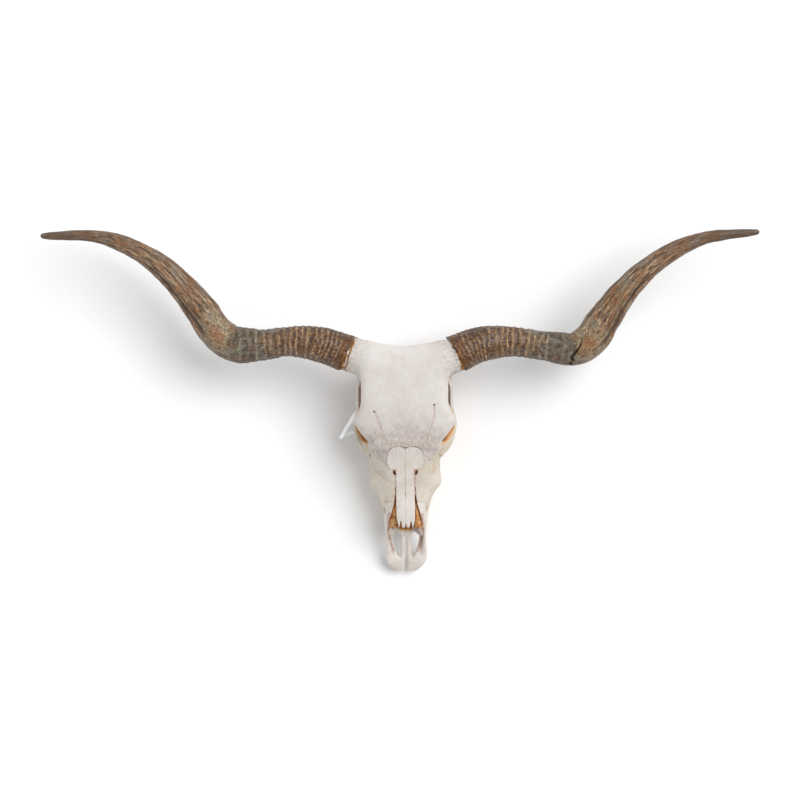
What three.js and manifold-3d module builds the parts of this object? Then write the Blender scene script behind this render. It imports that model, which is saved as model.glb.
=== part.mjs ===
// A longhorn steer's skull without its lower jaw, lying face up as it rests on a flat surface: on its two
// rows of cheek teeth in front and on the two paracondylar processes at the back of the head.
//
// Units are millimetres and +Z is up. Inside the skull a place is given by x, across the skull from its
// midline, by s, the distance from the poll (the ridge between the horns) towards the nose, and by z, the
// height over the surface that the skull lies on. The nose points to -Y.
//
// The skull is modelled whole and is then parted along the main sutures into its bones.

import * as THREE from "three";
import { LoftGeometry } from "three/addons/geometries/LoftGeometry.js";
import { mergeVertices } from "three/addons/utils/BufferGeometryUtils.js";
import Module from "manifold-3d";

const wasm = await Module();
wasm.setup();

// ---------------------------------------------------------------- driving dimensions

const POLL_Y = 137; // y of the poll, with y = 0 in the middle of the whole object
const MIDLINE_X = 10; // the skull's midline, a little right of the middle of the horn span
const SKULL_TURN = THREE.MathUtils.degToRad(0.5); // the nose swings slightly to +X
const GAP = 0.3; // between two bones that meet at a suture

const MUZZLE_TIP = 540; // s of the premaxilla's front edge
const SNOUT_END = 456; // s where the hard palate and the side walls of the nose end
const NASAL_ROOT = 240; // s where the nasal bones meet the frontal
const NASAL_TIP = 438; // s of the nasal bones' points
const NASAL_THICKNESS = 6;
const CAVITY_START = 332; // s where the open nasal cavity begins, behind which the snout is solid
const CAVITY_WALL = 5;
const PALATE_Z = 46;
const PROCESS_TIP_S = 34; // s of the paracondylar processes' tips
const ORBIT = { middle: [118, 208, 140], size: [52, 30, 30], lean: 0.3 };
const POLL_DIP = { depth: 5, halfWidth: 30, fades: 50 };

// Cheek teeth from the first premolar back to the last molar.
const TOOTH_ROW = {
  start: 402,
  lengths: [16, 18, 18, 24, 28, 29],
  widths: [16, 18, 20, 23, 24, 22],
};

// Each horn's centre line as stops [x, s, z], outwards from the sheath's edge, with x off the midline.
const HORN_PATH = {
  right: [
    [123, 22, 161], [177, 2, 158], [252, -5, 153], [335, 6, 147], [404, 8, 143],
    [453, -35, 148], [515, -114, 158], [590, -187, 167], [694, -241, 175], [832, -255, 183],
  ],
  left: [
    [134, 19, 161], [197, -2, 158], [268, -10, 153], [343, -4, 147], [408, -12, 143],
    [459, -59, 148], [515, -128, 158], [589, -202, 167], [701, -255, 175], [848, -261, 183],
  ],
};
const HORN_RADII = [43, 41.5, 36, 34.5, 41, 41.5, 31.5, 24, 15, 3.5]; // at those stops
const HORN = { steps: 25, sides: 12, flatness: 0.94 }; // a little less high than wide

// The tie's middle line as stops [x, s, z], from its head round the outside of the arch and back inside it.
const TIE_PATH = [
  [-121, 203.5, 75], [-138, 211, 67.5], [-148, 216, 66], [-153.5, 219, 71], [-149, 213, 78],
  [-142, 200, 88], [-134.5, 188, 98], [-127, 177, 108], [-122, 168, 115.5], [-116, 160, 120.5],
  [-108, 154, 123], [-100, 150.5, 121], [-95, 154, 113], [-93, 165, 103], [-95, 178, 93],
  [-103, 190, 84], [-116, 201, 77.5],
];
const TIE = { halfWidth: 4.2, halfThickness: 0.9, steps: 32 };
const TIE_HEAD = { at: [-119, 202, 76.5], size: [10, 9, 6.5] };

// ---------------------------------------------------------------- making solids

const at = (x, s, z) => new THREE.Vector3(x, -s, z);
const onSide = (side, stops) => stops.map(([x, ...rest]) => [side * x, ...rest]);
const join = (...solids) => solids.reduce((whole, solid) => whole.add(solid));
const turns = (count) => Array.from({ length: count }, (_, i) => (i / count) * 2 * Math.PI);

// A smooth function through a few stations [s, value].
function along(...stations) {
  const curve = new THREE.CubicInterpolant(
    stations.map(([s]) => s),
    stations.map(([, value]) => value),
    1,
  );
  return (s) => curve.evaluate(s)[0];
}

// A geometry as a manifold-3d solid.
function solidOf(geometry) {
  const bare = new THREE.BufferGeometry();
  bare.setAttribute("position", geometry.attributes.position);
  bare.setIndex(geometry.index);
  const merged = mergeVertices(bare, 1e-3);
  return new wasm.Manifold(
    new wasm.Mesh({
      numProp: 3,
      vertProperties: merged.attributes.position.array,
      triVerts: new Uint32Array(merged.index.array),
    }),
  );
}

// A closed loft through rings of points, whichever way round the rings run.
function loft(rings) {
  const sum = (ring) => ring.reduce((total, point) => total.add(point), at(0, 0, 0));
  const ahead = sum(rings[1]).sub(sum(rings[0]));
  const facing = at(0, 0, 0);
  rings[0].forEach((point, i, ring) => facing.add(point.clone().cross(ring[(i + 1) % ring.length])));
  const ordered = facing.dot(ahead) > 0 ? rings : rings.map((ring) => [...ring].reverse());
  return solidOf(new LoftGeometry(ordered, { capStart: true, capEnd: true }));
}

// A loft along s through sections that are the same on both sides: rightHalf(s) gives the right half's
// points [x, z] from the top middle to the bottom middle. setBack(x, s) moves a point along s.
function symmetricLoft(stations, rightHalf, setBack = () => 0) {
  const rings = stations.map((s) => {
    const right = rightHalf(s);
    const left = right.slice(1, -1).reverse().map(([x, z]) => [-x, z]);
    return [...right, ...left].map(([x, z]) => at(x, s + setBack(x, s), z));
  });
  return loft(rings);
}

// A bar of oval section along a smooth path of stops [x, s, z, half width, half height].
function bar(stops, { steps, sides = 8, up = at(0, 0, 1) }) {
  const path = new THREE.CatmullRomCurve3(stops.map(([x, s, z]) => at(x, s, z)), false, "centripetal");
  const size = (index) => along(...stops.map((stop, i) => [i / (stops.length - 1), stop[index]]));
  const [wide, high] = [size(3), size(4)];
  const rings = [];
  for (let i = 0; i <= steps; i++) {
    const t = i / steps;
    const ahead = path.getTangent(t);
    const across = at(0, 0, 0).crossVectors(ahead, up).normalize();
    const over = at(0, 0, 0).crossVectors(across, ahead);
    const ring = turns(sides).map((turn) =>
      path
        .getPoint(t)
        .addScaledVector(across, Math.cos(turn) * wide(t))
        .addScaledVector(over, Math.sin(turn) * high(t)),
    );
    rings.push(ring);
  }
  return loft(rings);
}

// A loft through level ovals [x, s, z, half width, half length].
const column = (ovals) =>
  loft(
    ovals.map(([x, s, z, wide, long]) =>
      turns(8).map((turn) => at(x + wide * Math.cos(turn), s + long * Math.sin(turn), z)),
    ),
  );

function ellipsoid([x, s, z], [wide, long, high], lean = 0) {
  const ball = new THREE.SphereGeometry(1, 12, 7).scale(wide, long, high).rotateZ(lean);
  return solidOf(ball.translate(x, -s, z));
}

// A slab between two x, with an outline of points [s, z] in side view that is moved outwards by grow.
function sideSlab(outline, x0, x1, grow = 0) {
  const points = outline.map(([s, z]) => new THREE.Vector2(s, z));
  const outwards = THREE.ShapeUtils.isClockWise(points) ? 1 : -1;
  const moved = points.map((point, i) => {
    const before = point.clone().sub(points.at(i - 1)).normalize();
    const after = points[(i + 1) % points.length].clone().sub(point).normalize();
    const normal = new THREE.Vector2(-before.y - after.y, before.x + after.x).normalize();
    const mitre = Math.sqrt((1 + before.dot(after)) / 2);
    return point.clone().addScaledVector(normal, (outwards * grow) / mitre);
  });
  const face = (x) => moved.map((point) => at(x, point.x, point.y));
  return loft([face(x0), face(x1)]);
}

// ---------------------------------------------------------------- the back of the head

// Height of the skull's crown on the midline.
const topline = along(
  [0, 188], [8, 197], [22, 203], [60, 207], [120, 205], [180, 197], [228, 185],
  [248, 179], [300, 166], [360, 150], [420, 135], [445, 129],
);

const roof = {
  halfWidth: along(
    [0, 84], [8, 92], [22, 98], [60, 102], [95, 101], [141, 101], [156, 108],
    [170, 117], [180, 121], [194, 111], [206, 103], [228, 90], [246, 80],
  ),
  edge: along(
    [0, 180], [22, 190], [60, 184], [100, 174], [140, 168], [165, 164], [180, 161],
    [206, 170], [228, 162], [246, 152],
  ),
};

// The poll's ridge dips in the middle of its back edge.
function pollDip(x, s) {
  const fade = Math.max(0, 1 - s / POLL_DIP.fades);
  return POLL_DIP.depth * Math.exp(-((x / POLL_DIP.halfWidth) ** 2)) * fade;
}

// The frontal's broad roof, which overhangs the temples and carries the upper rims of the orbits.
function frontalRoof() {
  const section = (s) => {
    const [half, top, edge] = [roof.halfWidth(s), topline(s), roof.edge(s)];
    return [
      [0, top],
      [half * 0.5, top - 1],
      [half * 0.84, (top * 2 + edge) / 3 + 1],
      [half, edge],
      [half - 1, edge - 8],
      [half * 0.78, edge - 14],
      [0, top - 50],
    ];
  };
  return symmetricLoft([0, 7, 22, 60, 100, 141, 157, 168, 180, 192, 206, 226, 246], section, pollDip);
}

// The braincase, and the narrow core between the orbits.
function braincase() {
  const half = along([8, 50], [34, 66], [75, 66], [115, 62], [150, 56], [190, 46], [250, 38]);
  const bottom = along([8, 66], [34, 60], [75, 60], [115, 64], [150, 70], [190, 78], [250, 84]);
  return symmetricLoft([8, 34, 75, 115, 150, 190, 250], (s) => {
    const [x, z, top] = [half(s), bottom(s), topline(s) - 14];
    const middle = (z + top) / 2;
    return [
      [0, top],
      [x * 0.8, top],
      [x, middle + 12],
      [x * 0.97, middle - 12],
      [x * 0.66, z + 10],
      [x * 0.3, z],
      [0, z],
    ];
  });
}

// The upright wall of the nape with its mastoid corners.
function nape() {
  const half = along([5, 58], [16, 80], [38, 90], [64, 78]);
  const bottom = along([5, 92], [16, 74], [38, 68], [64, 84]);
  return symmetricLoft([5, 16, 38, 64], (s) => {
    const [x, z, top] = [half(s), bottom(s), topline(s) - 12];
    return [
      [0, top],
      [x * 0.85, top - 4],
      [x, top - 34],
      [x * 0.98, z + 26],
      [x * 0.72, z + 4],
      [x * 0.3, z],
      [0, z],
    ];
  });
}

// The bar of the skull's base, from the foramen magnum to the opening behind the palate.
function baseBar() {
  const half = along([26, 19], [90, 15], [150, 11], [200, 8]);
  return symmetricLoft([26, 90, 150, 200], (s) => {
    const [x, z] = [half(s), 54 + s * 0.12];
    return [[0, z + 30], [x, z + 28], [x, z + 6], [x * 0.6, z], [0, z]];
  });
}

const condyle = (side) => ellipsoid([side * 25, 21, 76], [16, 19, 23]);

// The process beside the condyle, on whose flat tip the skull rests.
const paracondylarProcess = (side) =>
  column(
    onSide(side, [
      [58, 40, 92, 15, 19],
      [56, 38, 66, 11, 15],
      [52, 36, 34, 7.5, 11],
      [47, PROCESS_TIP_S, 9, 6, 8],
      [46, PROCESS_TIP_S, 0, 4.5, 6],
    ]),
  );

const earBulla = (side) =>
  bar(onSide(side, [[40, 82, 76, 12, 16], [39, 80, 52, 10, 14], [37, 82, 34, 5, 6]]), {
    steps: 3,
    sides: 6,
    up: at(1, 0, 0),
  });

// The thin plate behind the palate that ends below in a hook.
function pterygoidPlate(side) {
  const heights = [[188, 96, 74], [204, 94, 26], [216, 94, 30], [238, 94, 40], [262, 90, 44]];
  const rings = heights.map(([s, top, bottom]) => {
    const spread = (s - 188) * 0.09;
    const section = [[19, top], [24, top], [22.5, bottom], [18.5, bottom]];
    return section.map(([x, z]) => at(side * (x + spread), s, z));
  });
  return loft(rings);
}

// The cheek arch, from the ear past the temple and under the orbit to the cheek.
const cheekArch = (side) =>
  bar(
    onSide(side, [
      [78, 58, 120, 10, 20],
      [98, 84, 117, 7, 15],
      [109, 110, 114, 4, 10],
      [108, 138, 110, 3.8, 9],
      [110, 162, 106, 4, 11],
      [112.5, 190, 103, 6, 11],
      [108, 216, 103, 9, 11],
      [97, 238, 108, 11.5, 13],
      [84, 256, 111, 10, 15],
    ]),
    { steps: 12, sides: 7 },
  );

const barBehindOrbit = (side) =>
  bar(
    onSide(side, [
      [110, 177, 166, 7, 9],
      [114, 175, 148, 4, 7],
      [112, 172, 126, 4, 7],
      [109.5, 170, 104, 4, 7],
    ]),
    { steps: 3, sides: 6, up: at(1, 0, 0) },
  );

const jawSocket = (side) =>
  bar(onSide(side, [[56, 92, 104, 10, 9], [78, 94, 105, 11, 8], [102, 98, 110, 9, 8]]), {
    steps: 2,
    sides: 6,
  });

const orbit = (side) => ellipsoid(...onSide(side, [ORBIT.middle]), ORBIT.size, -side * ORBIT.lean);

const foramenMagnum = () => ellipsoid([0, 2, 96], [18, 52, 16]);

// The openings at the back of the nose, above the end of the palate.
function choanae() {
  const passage = symmetricLoft([196, 284], () => [[0, 78], [16, 76], [16, 20], [0, 20]]);
  return passage.intersect(sideSlab([[190, 78], [284, 70], [252, 20], [190, 20]], -40, 40));
}

// ---------------------------------------------------------------- the face

// The corners of the snout's section at s: the shoulder beside the nasal bones, the middle of the side
// wall, the crest of the cheek, the wall below it, and the outer and inner edge of the gum.
const snout = {
  shoulder: {
    x: along([226, 56], [260, 48], [300, 38], [350, 33], [400, 33], [446, 38]),
    drop: along([226, 3], [260, 4], [300, 6], [350, 9], [400, 12], [446, 42]),
  },
  flank: {
    x: along([226, 88], [250, 76], [280, 66], [325, 62], [350, 52], [400, 43.5], [446, 45]),
    z: along([226, 152], [250, 146], [280, 136], [325, 122], [350, 115], [400, 105], [446, 72]),
  },
  crest: {
    x: along(
      [226, 100], [240, 100], [250, 95], [258, 88], [280, 84.5], [300, 85], [322, 87.5],
      [334, 83], [346, 71.5], [368, 60], [400, 53], [432, 50.5], [446, 49.5],
    ),
    z: along([226, 116], [250, 112], [280, 100], [325, 86], [346, 82], [400, 72], [446, 58]),
  },
  underCrest: {
    x: along([226, 90], [260, 76], [300, 71], [330, 70], [350, 64], [400, 49], [446, 44]),
    z: along([226, 102], [260, 84], [300, 66], [330, 58], [370, 56], [446, 50]),
  },
  gumOuter: {
    x: along([226, 34], [250, 50], [264, 62], [325, 65], [370, 59], [402, 49], [416, 43], [446, 38]),
    z: along(
      [226, 88], [250, 72], [262, 34], [270, 24], [325, 23], [370, 24], [402, 26], [416, 37], [446, 42],
    ),
  },
  gumInner: {
    x: along([226, 24], [250, 36], [264, 42], [325, 42], [370, 37], [402, 31], [446, 27]),
    z: along([226, 88], [250, 76], [262, 36], [270, 27], [402, 30], [416, 40], [446, 44]),
  },
  palate: along([226, 90], [248, 84], [258, PALATE_Z + 6], [270, PALATE_Z], [446, PALATE_Z + 1]),
};

function snoutBlock() {
  const { shoulder, flank, crest, underCrest, gumOuter, gumInner, palate } = snout;
  return symmetricLoft([226, 240, 250, 260, 270, 290, 322, 334, 346, 370, 402, 416, SNOUT_END], (s) => [
    [0, topline(s)],
    [shoulder.x(s), topline(s) - shoulder.drop(s)],
    [flank.x(s), flank.z(s)],
    [crest.x(s), crest.z(s)],
    [underCrest.x(s), underCrest.z(s)],
    [gumOuter.x(s), gumOuter.z(s)],
    [gumInner.x(s), gumInner.z(s)],
    [gumInner.x(s) * 0.7, palate(s) - 2],
    [0, palate(s)],
  ]);
}

function nasalCavity() {
  const { flank, underCrest, gumInner } = snout;
  return symmetricLoft([CAVITY_START, 350, 385, 420, 470], (s) => [
    [0, topline(s) - NASAL_THICKNESS - 1],
    [22, topline(s) - NASAL_THICKNESS - 3],
    [flank.x(s) - CAVITY_WALL - 7, flank.z(s) + 5],
    [flank.x(s) - CAVITY_WALL, flank.z(s) - 8],
    [underCrest.x(s) - CAVITY_WALL - 6, underCrest.z(s) + 8],
    [gumInner.x(s) - 4, PALATE_Z + 9],
    [0, PALATE_Z + 7],
  ]);
}

// A scroll of turbinate bone on the side wall of the nasal cavity.
const turbinate = (side) =>
  bar(
    onSide(side, [
      [31, 326, 90, 9, 22],
      [31, 360, 87, 9, 19],
      [33, 395, 81, 8, 14],
      [37, 420, 72, 8, 8],
      [40, 438, 66, 7, 3],
    ]),
    { steps: 5 },
  );

// The slit beside the nasal bones, which widens into the nose's opening.
function nasalAperture() {
  const half = along([340, 25], [352, 26.5], [373, 31], [408, 38.5], [440, 43], [470, 44]);
  return symmetricLoft([344, 352, 373, 408, 440, 480], (s) => {
    const [high, low] = [topline(s) + 10, topline(s) - 45];
    return [[0, high], [half(s), high], [half(s), low], [0, low]];
  });
}

// The palatine fissure of one side, which rounds off the front edge of the hard palate.
const palatineFissure = (side) => ellipsoid([side * 21, 490, 50], [15, 46, 26]);

// The small gap where the nasal bone, the lacrimal and the maxilla don't quite meet.
function nasalGap(side) {
  const corners = (z) => [at(side * 23, 294, z), at(side * 32, 295, z), at(side * 26.5, 305, z)];
  return loft([corners(150), corners(180)]);
}

const nasals = {
  stations: [NASAL_ROOT, 244, 251, 260, 276, 288, 297, 304, 350, 400, NASAL_TIP],
  halfWidth: along(
    [238, 8], [243, 24], [250, 38], [258, 42.5], [276, 43], [288, 39], [297, 28], [304, 22.3],
    [340, 21.8], [400, 21.5], [424, 20.6], [440, 20],
  ),
  top: (s) => topline(s) + 1.2,
  bottom: (s) => topline(s) - NASAL_THICKNESS,
};

// The bed cut for both nasal bones, a gap wider than they are and open above.
function nasalBed() {
  const stations = [NASAL_ROOT - GAP, ...nasals.stations.slice(1, -1), 470];
  return symmetricLoft(stations, (s) => {
    const half = nasals.halfWidth(s) + GAP;
    const [sky, widest, bottom] = [nasals.top(s) + 6, nasals.top(s) - 5, nasals.bottom(s) - GAP];
    return [
      [0, sky],
      [half, sky],
      [half, widest],
      [half - 1, bottom - 1],
      [half * 0.5, bottom],
      [0, bottom],
    ];
  });
}

// One nasal bone: a long arched plate, its free end notched into points.
function nasal(side) {
  const rings = nasals.stations.map((s) => {
    const [half, top, bottom] = [nasals.halfWidth(s), nasals.top(s), nasals.bottom(s)];
    const section = [
      [GAP / 2, top],
      [half * 0.55, top - 0.7],
      [half * 0.9, top - 2.8],
      [half, top - 5],
      [half - 1, bottom - 1],
      [half * 0.5, bottom],
      [GAP / 2, bottom],
    ];
    return section.map(([x, z]) => at(side * x, s, z));
  });
  const notch = (middle, half, start) => {
    const corners = [[middle - half, NASAL_TIP + 3], [middle + half, NASAL_TIP + 3], [middle, start]];
    const wedge = (z) => corners.map(([x, s]) => at(side * x, s, z));
    return loft([wedge(110), wedge(150)]);
  };
  const notches = join(notch(0.5, 2.8, 432), notch(12, 3.6, 425), notch(22, 7.5, 421));
  return loft(rings).subtract(notches);
}

// One premaxilla: the branch beside the nose's opening, the shelf inside it, the plate at the muzzle's tip
// and the thin palatine rod near the midline.
function premaxilla(side) {
  const branch = bar(
    onSide(side, [
      [42, 368, 110, 3, 7],
      [43.5, 392, 101, 3, 10],
      [45, 420, 85, 3, 12],
      [44.5, 446, 64, 3.5, 13],
      [43.5, 470, 46, 4.5, 12],
      [42, 494, 36, 8, 9],
      [33, 514, 31, 9, 7],
    ]),
    { steps: 9 },
  );
  const shelf = bar(
    onSide(side, [
      [39, 430, 52, 4, 4],
      [36, 456, 46, 4, 3.5],
      [32, 480, 41, 4.5, 3.5],
      [27, 500, 36, 6, 4],
      [21, 514, 32, 9, 5],
    ]),
    { steps: 4, sides: 6 },
  );
  const plateSections = [
    [495, 22, 46.5, 8],
    [507, 9, 48.5, 8.5],
    [517, 3, 45.5, 8.5],
    [526, 2.5, 38.5, 7.5],
    [534, 3, 30, 5],
    [MUZZLE_TIP, 6, 21, 2],
  ];
  const plate = loft(
    plateSections.map(([s, inner, outer, halfHeight]) => {
      const [middle, half, z] = [(inner + outer) / 2, (outer - inner) / 2, 31 - (s - 496) * 0.12];
      return turns(8).map((turn) =>
        at(side * (middle + half * Math.cos(turn)), s, z + halfHeight * Math.sin(turn)),
      );
    }),
  );
  const rod = bar(
    onSide(side, [
      [6.6, 418, 49, 3.6, 4.5],
      [6.8, 450, 46, 4, 4],
      [6.8, 482, 40, 4.2, 4],
      [8.5, 512, 32, 6, 5],
    ]),
    { steps: 3, sides: 6 },
  );
  return join(branch, shelf, plate, rod);
}

// The cheek teeth of one side, which stand in the gum. Their worn faces lie in one level, on the surface.
function cheekTeeth(side) {
  const crown = [[-1, -0.8], [0.7, -1], [1, -0.5], [0.82, 0], [1, 0.5], [0.7, 1], [-1, 0.8], [-0.86, 0]];
  let end = TOOTH_ROW.start;
  const teeth = TOOTH_ROW.lengths.map((length, i) => {
    const s = end - length / 2;
    end -= length;
    const x = (snout.gumOuter.x(s) + snout.gumInner.x(s)) / 2;
    const [halfWidth, halfLength] = [TOOTH_ROW.widths[i] / 2, length / 2 - 0.4];
    const ring = (z, size) =>
      crown.map(([u, v]) => at(side * (x + u * halfWidth * size), s + v * halfLength * size, z));
    return loft([ring(0, 0.86), ring(4, 1), ring(34, 0.94)]);
  });
  return join(...teeth);
}

// ---------------------------------------------------------------- horns

// The horn's centre line, and the ring round it at t of the way along, swollen by some millimetres.
function hornCourse(name, side) {
  const stops = HORN_PATH[name].map(([x, s, z]) => at(side * x, s, z));
  const path = new THREE.CatmullRomCurve3(stops, false, "centripetal");
  const radius = along(...HORN_RADII.map((r, i) => [i / (HORN_RADII.length - 1), r]));
  const ring = (t, swell = 0) => {
    const ahead = path.getTangent(t);
    const across = at(0, 0, 0).crossVectors(ahead, at(0, 0, 1)).normalize();
    const over = at(0, 0, 0).crossVectors(across, ahead);
    const r = radius(t) + swell;
    return turns(HORN.sides).map((turn) =>
      path
        .getPoint(t)
        .addScaledVector(across, r * Math.cos(turn))
        .addScaledVector(over, r * Math.sin(turn) * HORN.flatness),
    );
  };
  return { path, ring };
}

function hornSheath(name, side) {
  const { ring } = hornCourse(name, side);
  return loft(Array.from({ length: HORN.steps + 1 }, (_, i) => ring(i / HORN.steps)));
}

// The bony core that carries the sheath, out of the frontal's back corner as far as the sheath's edge.
function hornCore(name, side) {
  const { path, ring } = hornCourse(name, side);
  const inwards = path.getTangent(0).negate();
  const middle = path.getPoint(0);
  const edge = ring(0, -0.5);
  const section = (depth, size) =>
    edge.map((point) => middle.clone().lerp(point, size).addScaledVector(inwards, depth));
  return loft([section(GAP, 1), section(20, 0.97), section(46, 0.9), section(76, 0.75)]);
}

// ---------------------------------------------------------------- the hanging tie

// A nylon tie closed round the cheek arch and the foot of the bar behind the left orbit, standing off in a
// stiff loop. Its band stays level across.
function hangingTie() {
  const path = new THREE.CatmullRomCurve3(TIE_PATH.map((stop) => at(...stop)), false, "centripetal");
  const broad = at(0.6, 0.78, 0);
  const rings = Array.from({ length: TIE.steps + 1 }, (_, i) => {
    const t = i / TIE.steps;
    const ahead = path.getTangent(t);
    const flat = at(0, 0, 0).crossVectors(ahead, broad).normalize();
    const across = at(0, 0, 0).crossVectors(flat, ahead);
    const corners = [[-1, -1], [1, -1], [1, 1], [-1, 1]];
    return corners.map(([u, v]) =>
      path
        .getPoint(t)
        .addScaledVector(across, u * TIE.halfWidth)
        .addScaledVector(flat, v * TIE.halfThickness),
    );
  });
  const head = new THREE.BoxGeometry(...TIE_HEAD.size).rotateY(0.35).rotateZ(-0.5);
  return join(loft(rings), solidOf(head.translate(...at(...TIE_HEAD.at).toArray())));
}

// ---------------------------------------------------------------- the whole skull

const SIDES = [["right", 1], ["left", -1]];
const onBothSides = (make) => SIDES.map(([name, side]) => make(side, name));

function wholeSkull() {
  const shell = join(
    frontalRoof(),
    braincase(),
    nape(),
    baseBar(),
    snoutBlock(),
    ...onBothSides((side, name) => hornCore(name, side)),
    ...onBothSides(condyle),
    ...onBothSides(paracondylarProcess),
    ...onBothSides(earBulla),
    ...onBothSides(pterygoidPlate),
    ...onBothSides(cheekArch),
    ...onBothSides(barBehindOrbit),
    ...onBothSides(jawSocket),
  );
  const noseHollows = join(
    nasalCavity(),
    nasalAperture(),
    nasalBed(),
    ...onBothSides(nasalGap),
    ...onBothSides(palatineFissure),
  );
  const insideNose = join(
    ...onBothSides(cheekTeeth),
    ...onBothSides(premaxilla),
    ...onBothSides(turbinate),
  );
  const headHollows = join(foramenMagnum(), choanae(), ...onBothSides(orbit));
  return shell.subtract(noseHollows).add(insideNose).subtract(headHollows);
}

// ---------------------------------------------------------------- parting it into bones

// Each bone's reach: its outline [s, z] in side view and how near it comes to the midline. They are cut off
// one after the other, and what is left at the end is the cranium.
const SUTURES = {
  premaxilla: {
    outline: [[364, 200], [372, 114], [392, 92], [428, 62], [436, 20], [560, -10], [560, 200]],
    inner: GAP / 2,
  },
  zygomatic: {
    outline: [
      [150, 80], [150, 128], [166, 138], [200, 138], [224, 136.5], [246, 133.5],
      [275.7, 113.5], [300, 94], [286, 78], [250, 76],
    ],
    inner: 66,
  },
  lacrimal: {
    outline: [
      [224, 137], [232, 150], [246, 142], [256, 141], [266, 148], [281, 160], [291, 167], [299, 200],
      [331, 200], [331, 154], [318, 148], [308, 140], [299, 128], [276, 114], [246, 134],
    ],
    inner: 20,
  },
  maxilla: {
    outline: [
      [258, -10], [252, 70], [252, 112], [276, 113.5], [299, 127.5], [300, 240], [470, 240], [470, -10],
    ],
    inner: GAP / 2,
  },
};
const BEYOND = 200; // farther from the midline than any bone in SUTURES

function bonesOf(skull) {
  const bones = {};
  let rest = skull;
  for (const [name, side] of SIDES) {
    for (const [bone, { outline, inner }] of Object.entries(SUTURES)) {
      const widened = Math.max(inner - GAP, 0);
      bones[`${bone}_${name}`] = rest.intersect(sideSlab(outline, side * inner, side * BEYOND));
      rest = rest.subtract(sideSlab(outline, side * widened, side * BEYOND, GAP));
    }
  }
  return { cranium: rest, ...bones };
}

// ---------------------------------------------------------------- the finished object

const MATERIALS = {
  bone: new THREE.MeshStandardMaterial({ name: "bone", color: 0xd9cfc4, roughness: 0.75, metalness: 0 }),
  horn: new THREE.MeshStandardMaterial({ name: "horn", color: 0x6b5440, roughness: 0.5, metalness: 0 }),
  nylon: new THREE.MeshStandardMaterial({ name: "nylon", color: 0xe3e7ec, roughness: 0.4, metalness: 0 }),
};

function meshOf(name, solid, material) {
  const { vertProperties, triVerts } = solid.getMesh();
  const geometry = new THREE.BufferGeometry();
  geometry.setAttribute("position", new THREE.BufferAttribute(vertProperties, 3));
  geometry.setIndex(new THREE.BufferAttribute(triVerts, 1));
  geometry.computeVertexNormals();
  const mesh = new THREE.Mesh(geometry, material);
  mesh.name = name;
  return mesh;
}

const model = new THREE.Group();
model.position.set(MIDLINE_X, POLL_Y, 0);
model.rotation.z = SKULL_TURN;

for (const [name, solid] of Object.entries(bonesOf(wholeSkull()))) {
  model.add(meshOf(name, solid, MATERIALS.bone));
}
for (const [name, side] of SIDES) {
  model.add(meshOf(`nasal_${name}`, nasal(side), MATERIALS.bone));
  model.add(meshOf(`horn_${name}`, hornSheath(name, side), MATERIALS.horn));
}
model.add(meshOf("hanging_tie", hangingTie(), MATERIALS.nylon));

export default model;
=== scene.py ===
"""A longhorn steer's skull with its horn sheaths and the nylon tie it was hung by.

The bones are shaped as one solid in a block of cells that hold distances, and are then parted along
their sutures and given a skin. Inside the skull a place is given in millimetres by x, across from the
midline, by s, from the poll towards the nose, and by z, the height over the surface it lies on.
"""

import math

import bmesh
import bpy
import numpy as np
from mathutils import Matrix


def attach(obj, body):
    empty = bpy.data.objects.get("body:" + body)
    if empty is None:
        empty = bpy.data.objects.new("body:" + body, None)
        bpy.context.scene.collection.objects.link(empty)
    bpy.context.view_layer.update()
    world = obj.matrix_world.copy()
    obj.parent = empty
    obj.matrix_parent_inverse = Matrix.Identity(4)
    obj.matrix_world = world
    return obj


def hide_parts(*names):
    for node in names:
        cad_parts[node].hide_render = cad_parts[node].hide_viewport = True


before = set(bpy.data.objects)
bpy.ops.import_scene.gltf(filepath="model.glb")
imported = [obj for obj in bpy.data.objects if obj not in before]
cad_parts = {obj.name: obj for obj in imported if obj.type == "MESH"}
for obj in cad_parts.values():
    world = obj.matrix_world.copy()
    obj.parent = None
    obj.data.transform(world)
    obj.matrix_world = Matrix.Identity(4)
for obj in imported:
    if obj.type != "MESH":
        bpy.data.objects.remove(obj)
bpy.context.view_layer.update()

# ---------------------------------------------------------------- driving dimensions, in mm

POLL_Y = 137  # y of the poll in the frame
MIDLINE_X = 10
SKULL_TURN = math.radians(0.5)
GAP = 0.12  # between bones that meet at a suture
EDGE = 0.7  # rounding of a bone's edge along a suture

SNOUT_END = 452
NASAL_ROOT = 240
NASAL_TIP = 429
NASAL_THICKNESS = 6
CAVITY_START = 332
CAVITY_WALL = 5
PALATE_Z = 46
PROCESS_TIP_S = 34

CELL = 1.25  # size of a cell of the block
FAR = 30.0  # distance held by cells that nothing has reached
NEAR = 12.0  # how far round a solid its distance is worked out
BLOCK_LOW, BLOCK_HIGH = (0, -20, -5), (130, 552, 214)
CRANIUM_END = 316  # s beyond which no part of the cranium reaches
CORE_END = 158  # x beyond which no part of a horn core reaches

TEETH = {
    "start": 402,
    "lengths": (16, 18, 18, 24, 28, 29),
    "widths": (16, 18, 20, 23, 24, 22),
    "top": 34,
}

HORN_STOPS = {
    "right": (
        (123, 22, 161), (177, 2, 158), (252, -5, 153), (335, 6.5, 147), (406, 11.5, 143),
        (454.5, -34, 148), (513, -115.5, 158), (590, -187.5, 167), (694, -240, 175), (832, -256, 183),
    ),
    "left": (
        (134, 19, 161), (197, -2, 158), (268, -10, 153), (343, -2.5, 147), (409.5, -9, 143),
        (458, -60, 148), (511, -131, 158), (588, -203.5, 167), (701, -255.5, 175), (848, -261, 183),
    ),
}
HORN_FLATNESS = 0.94

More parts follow.
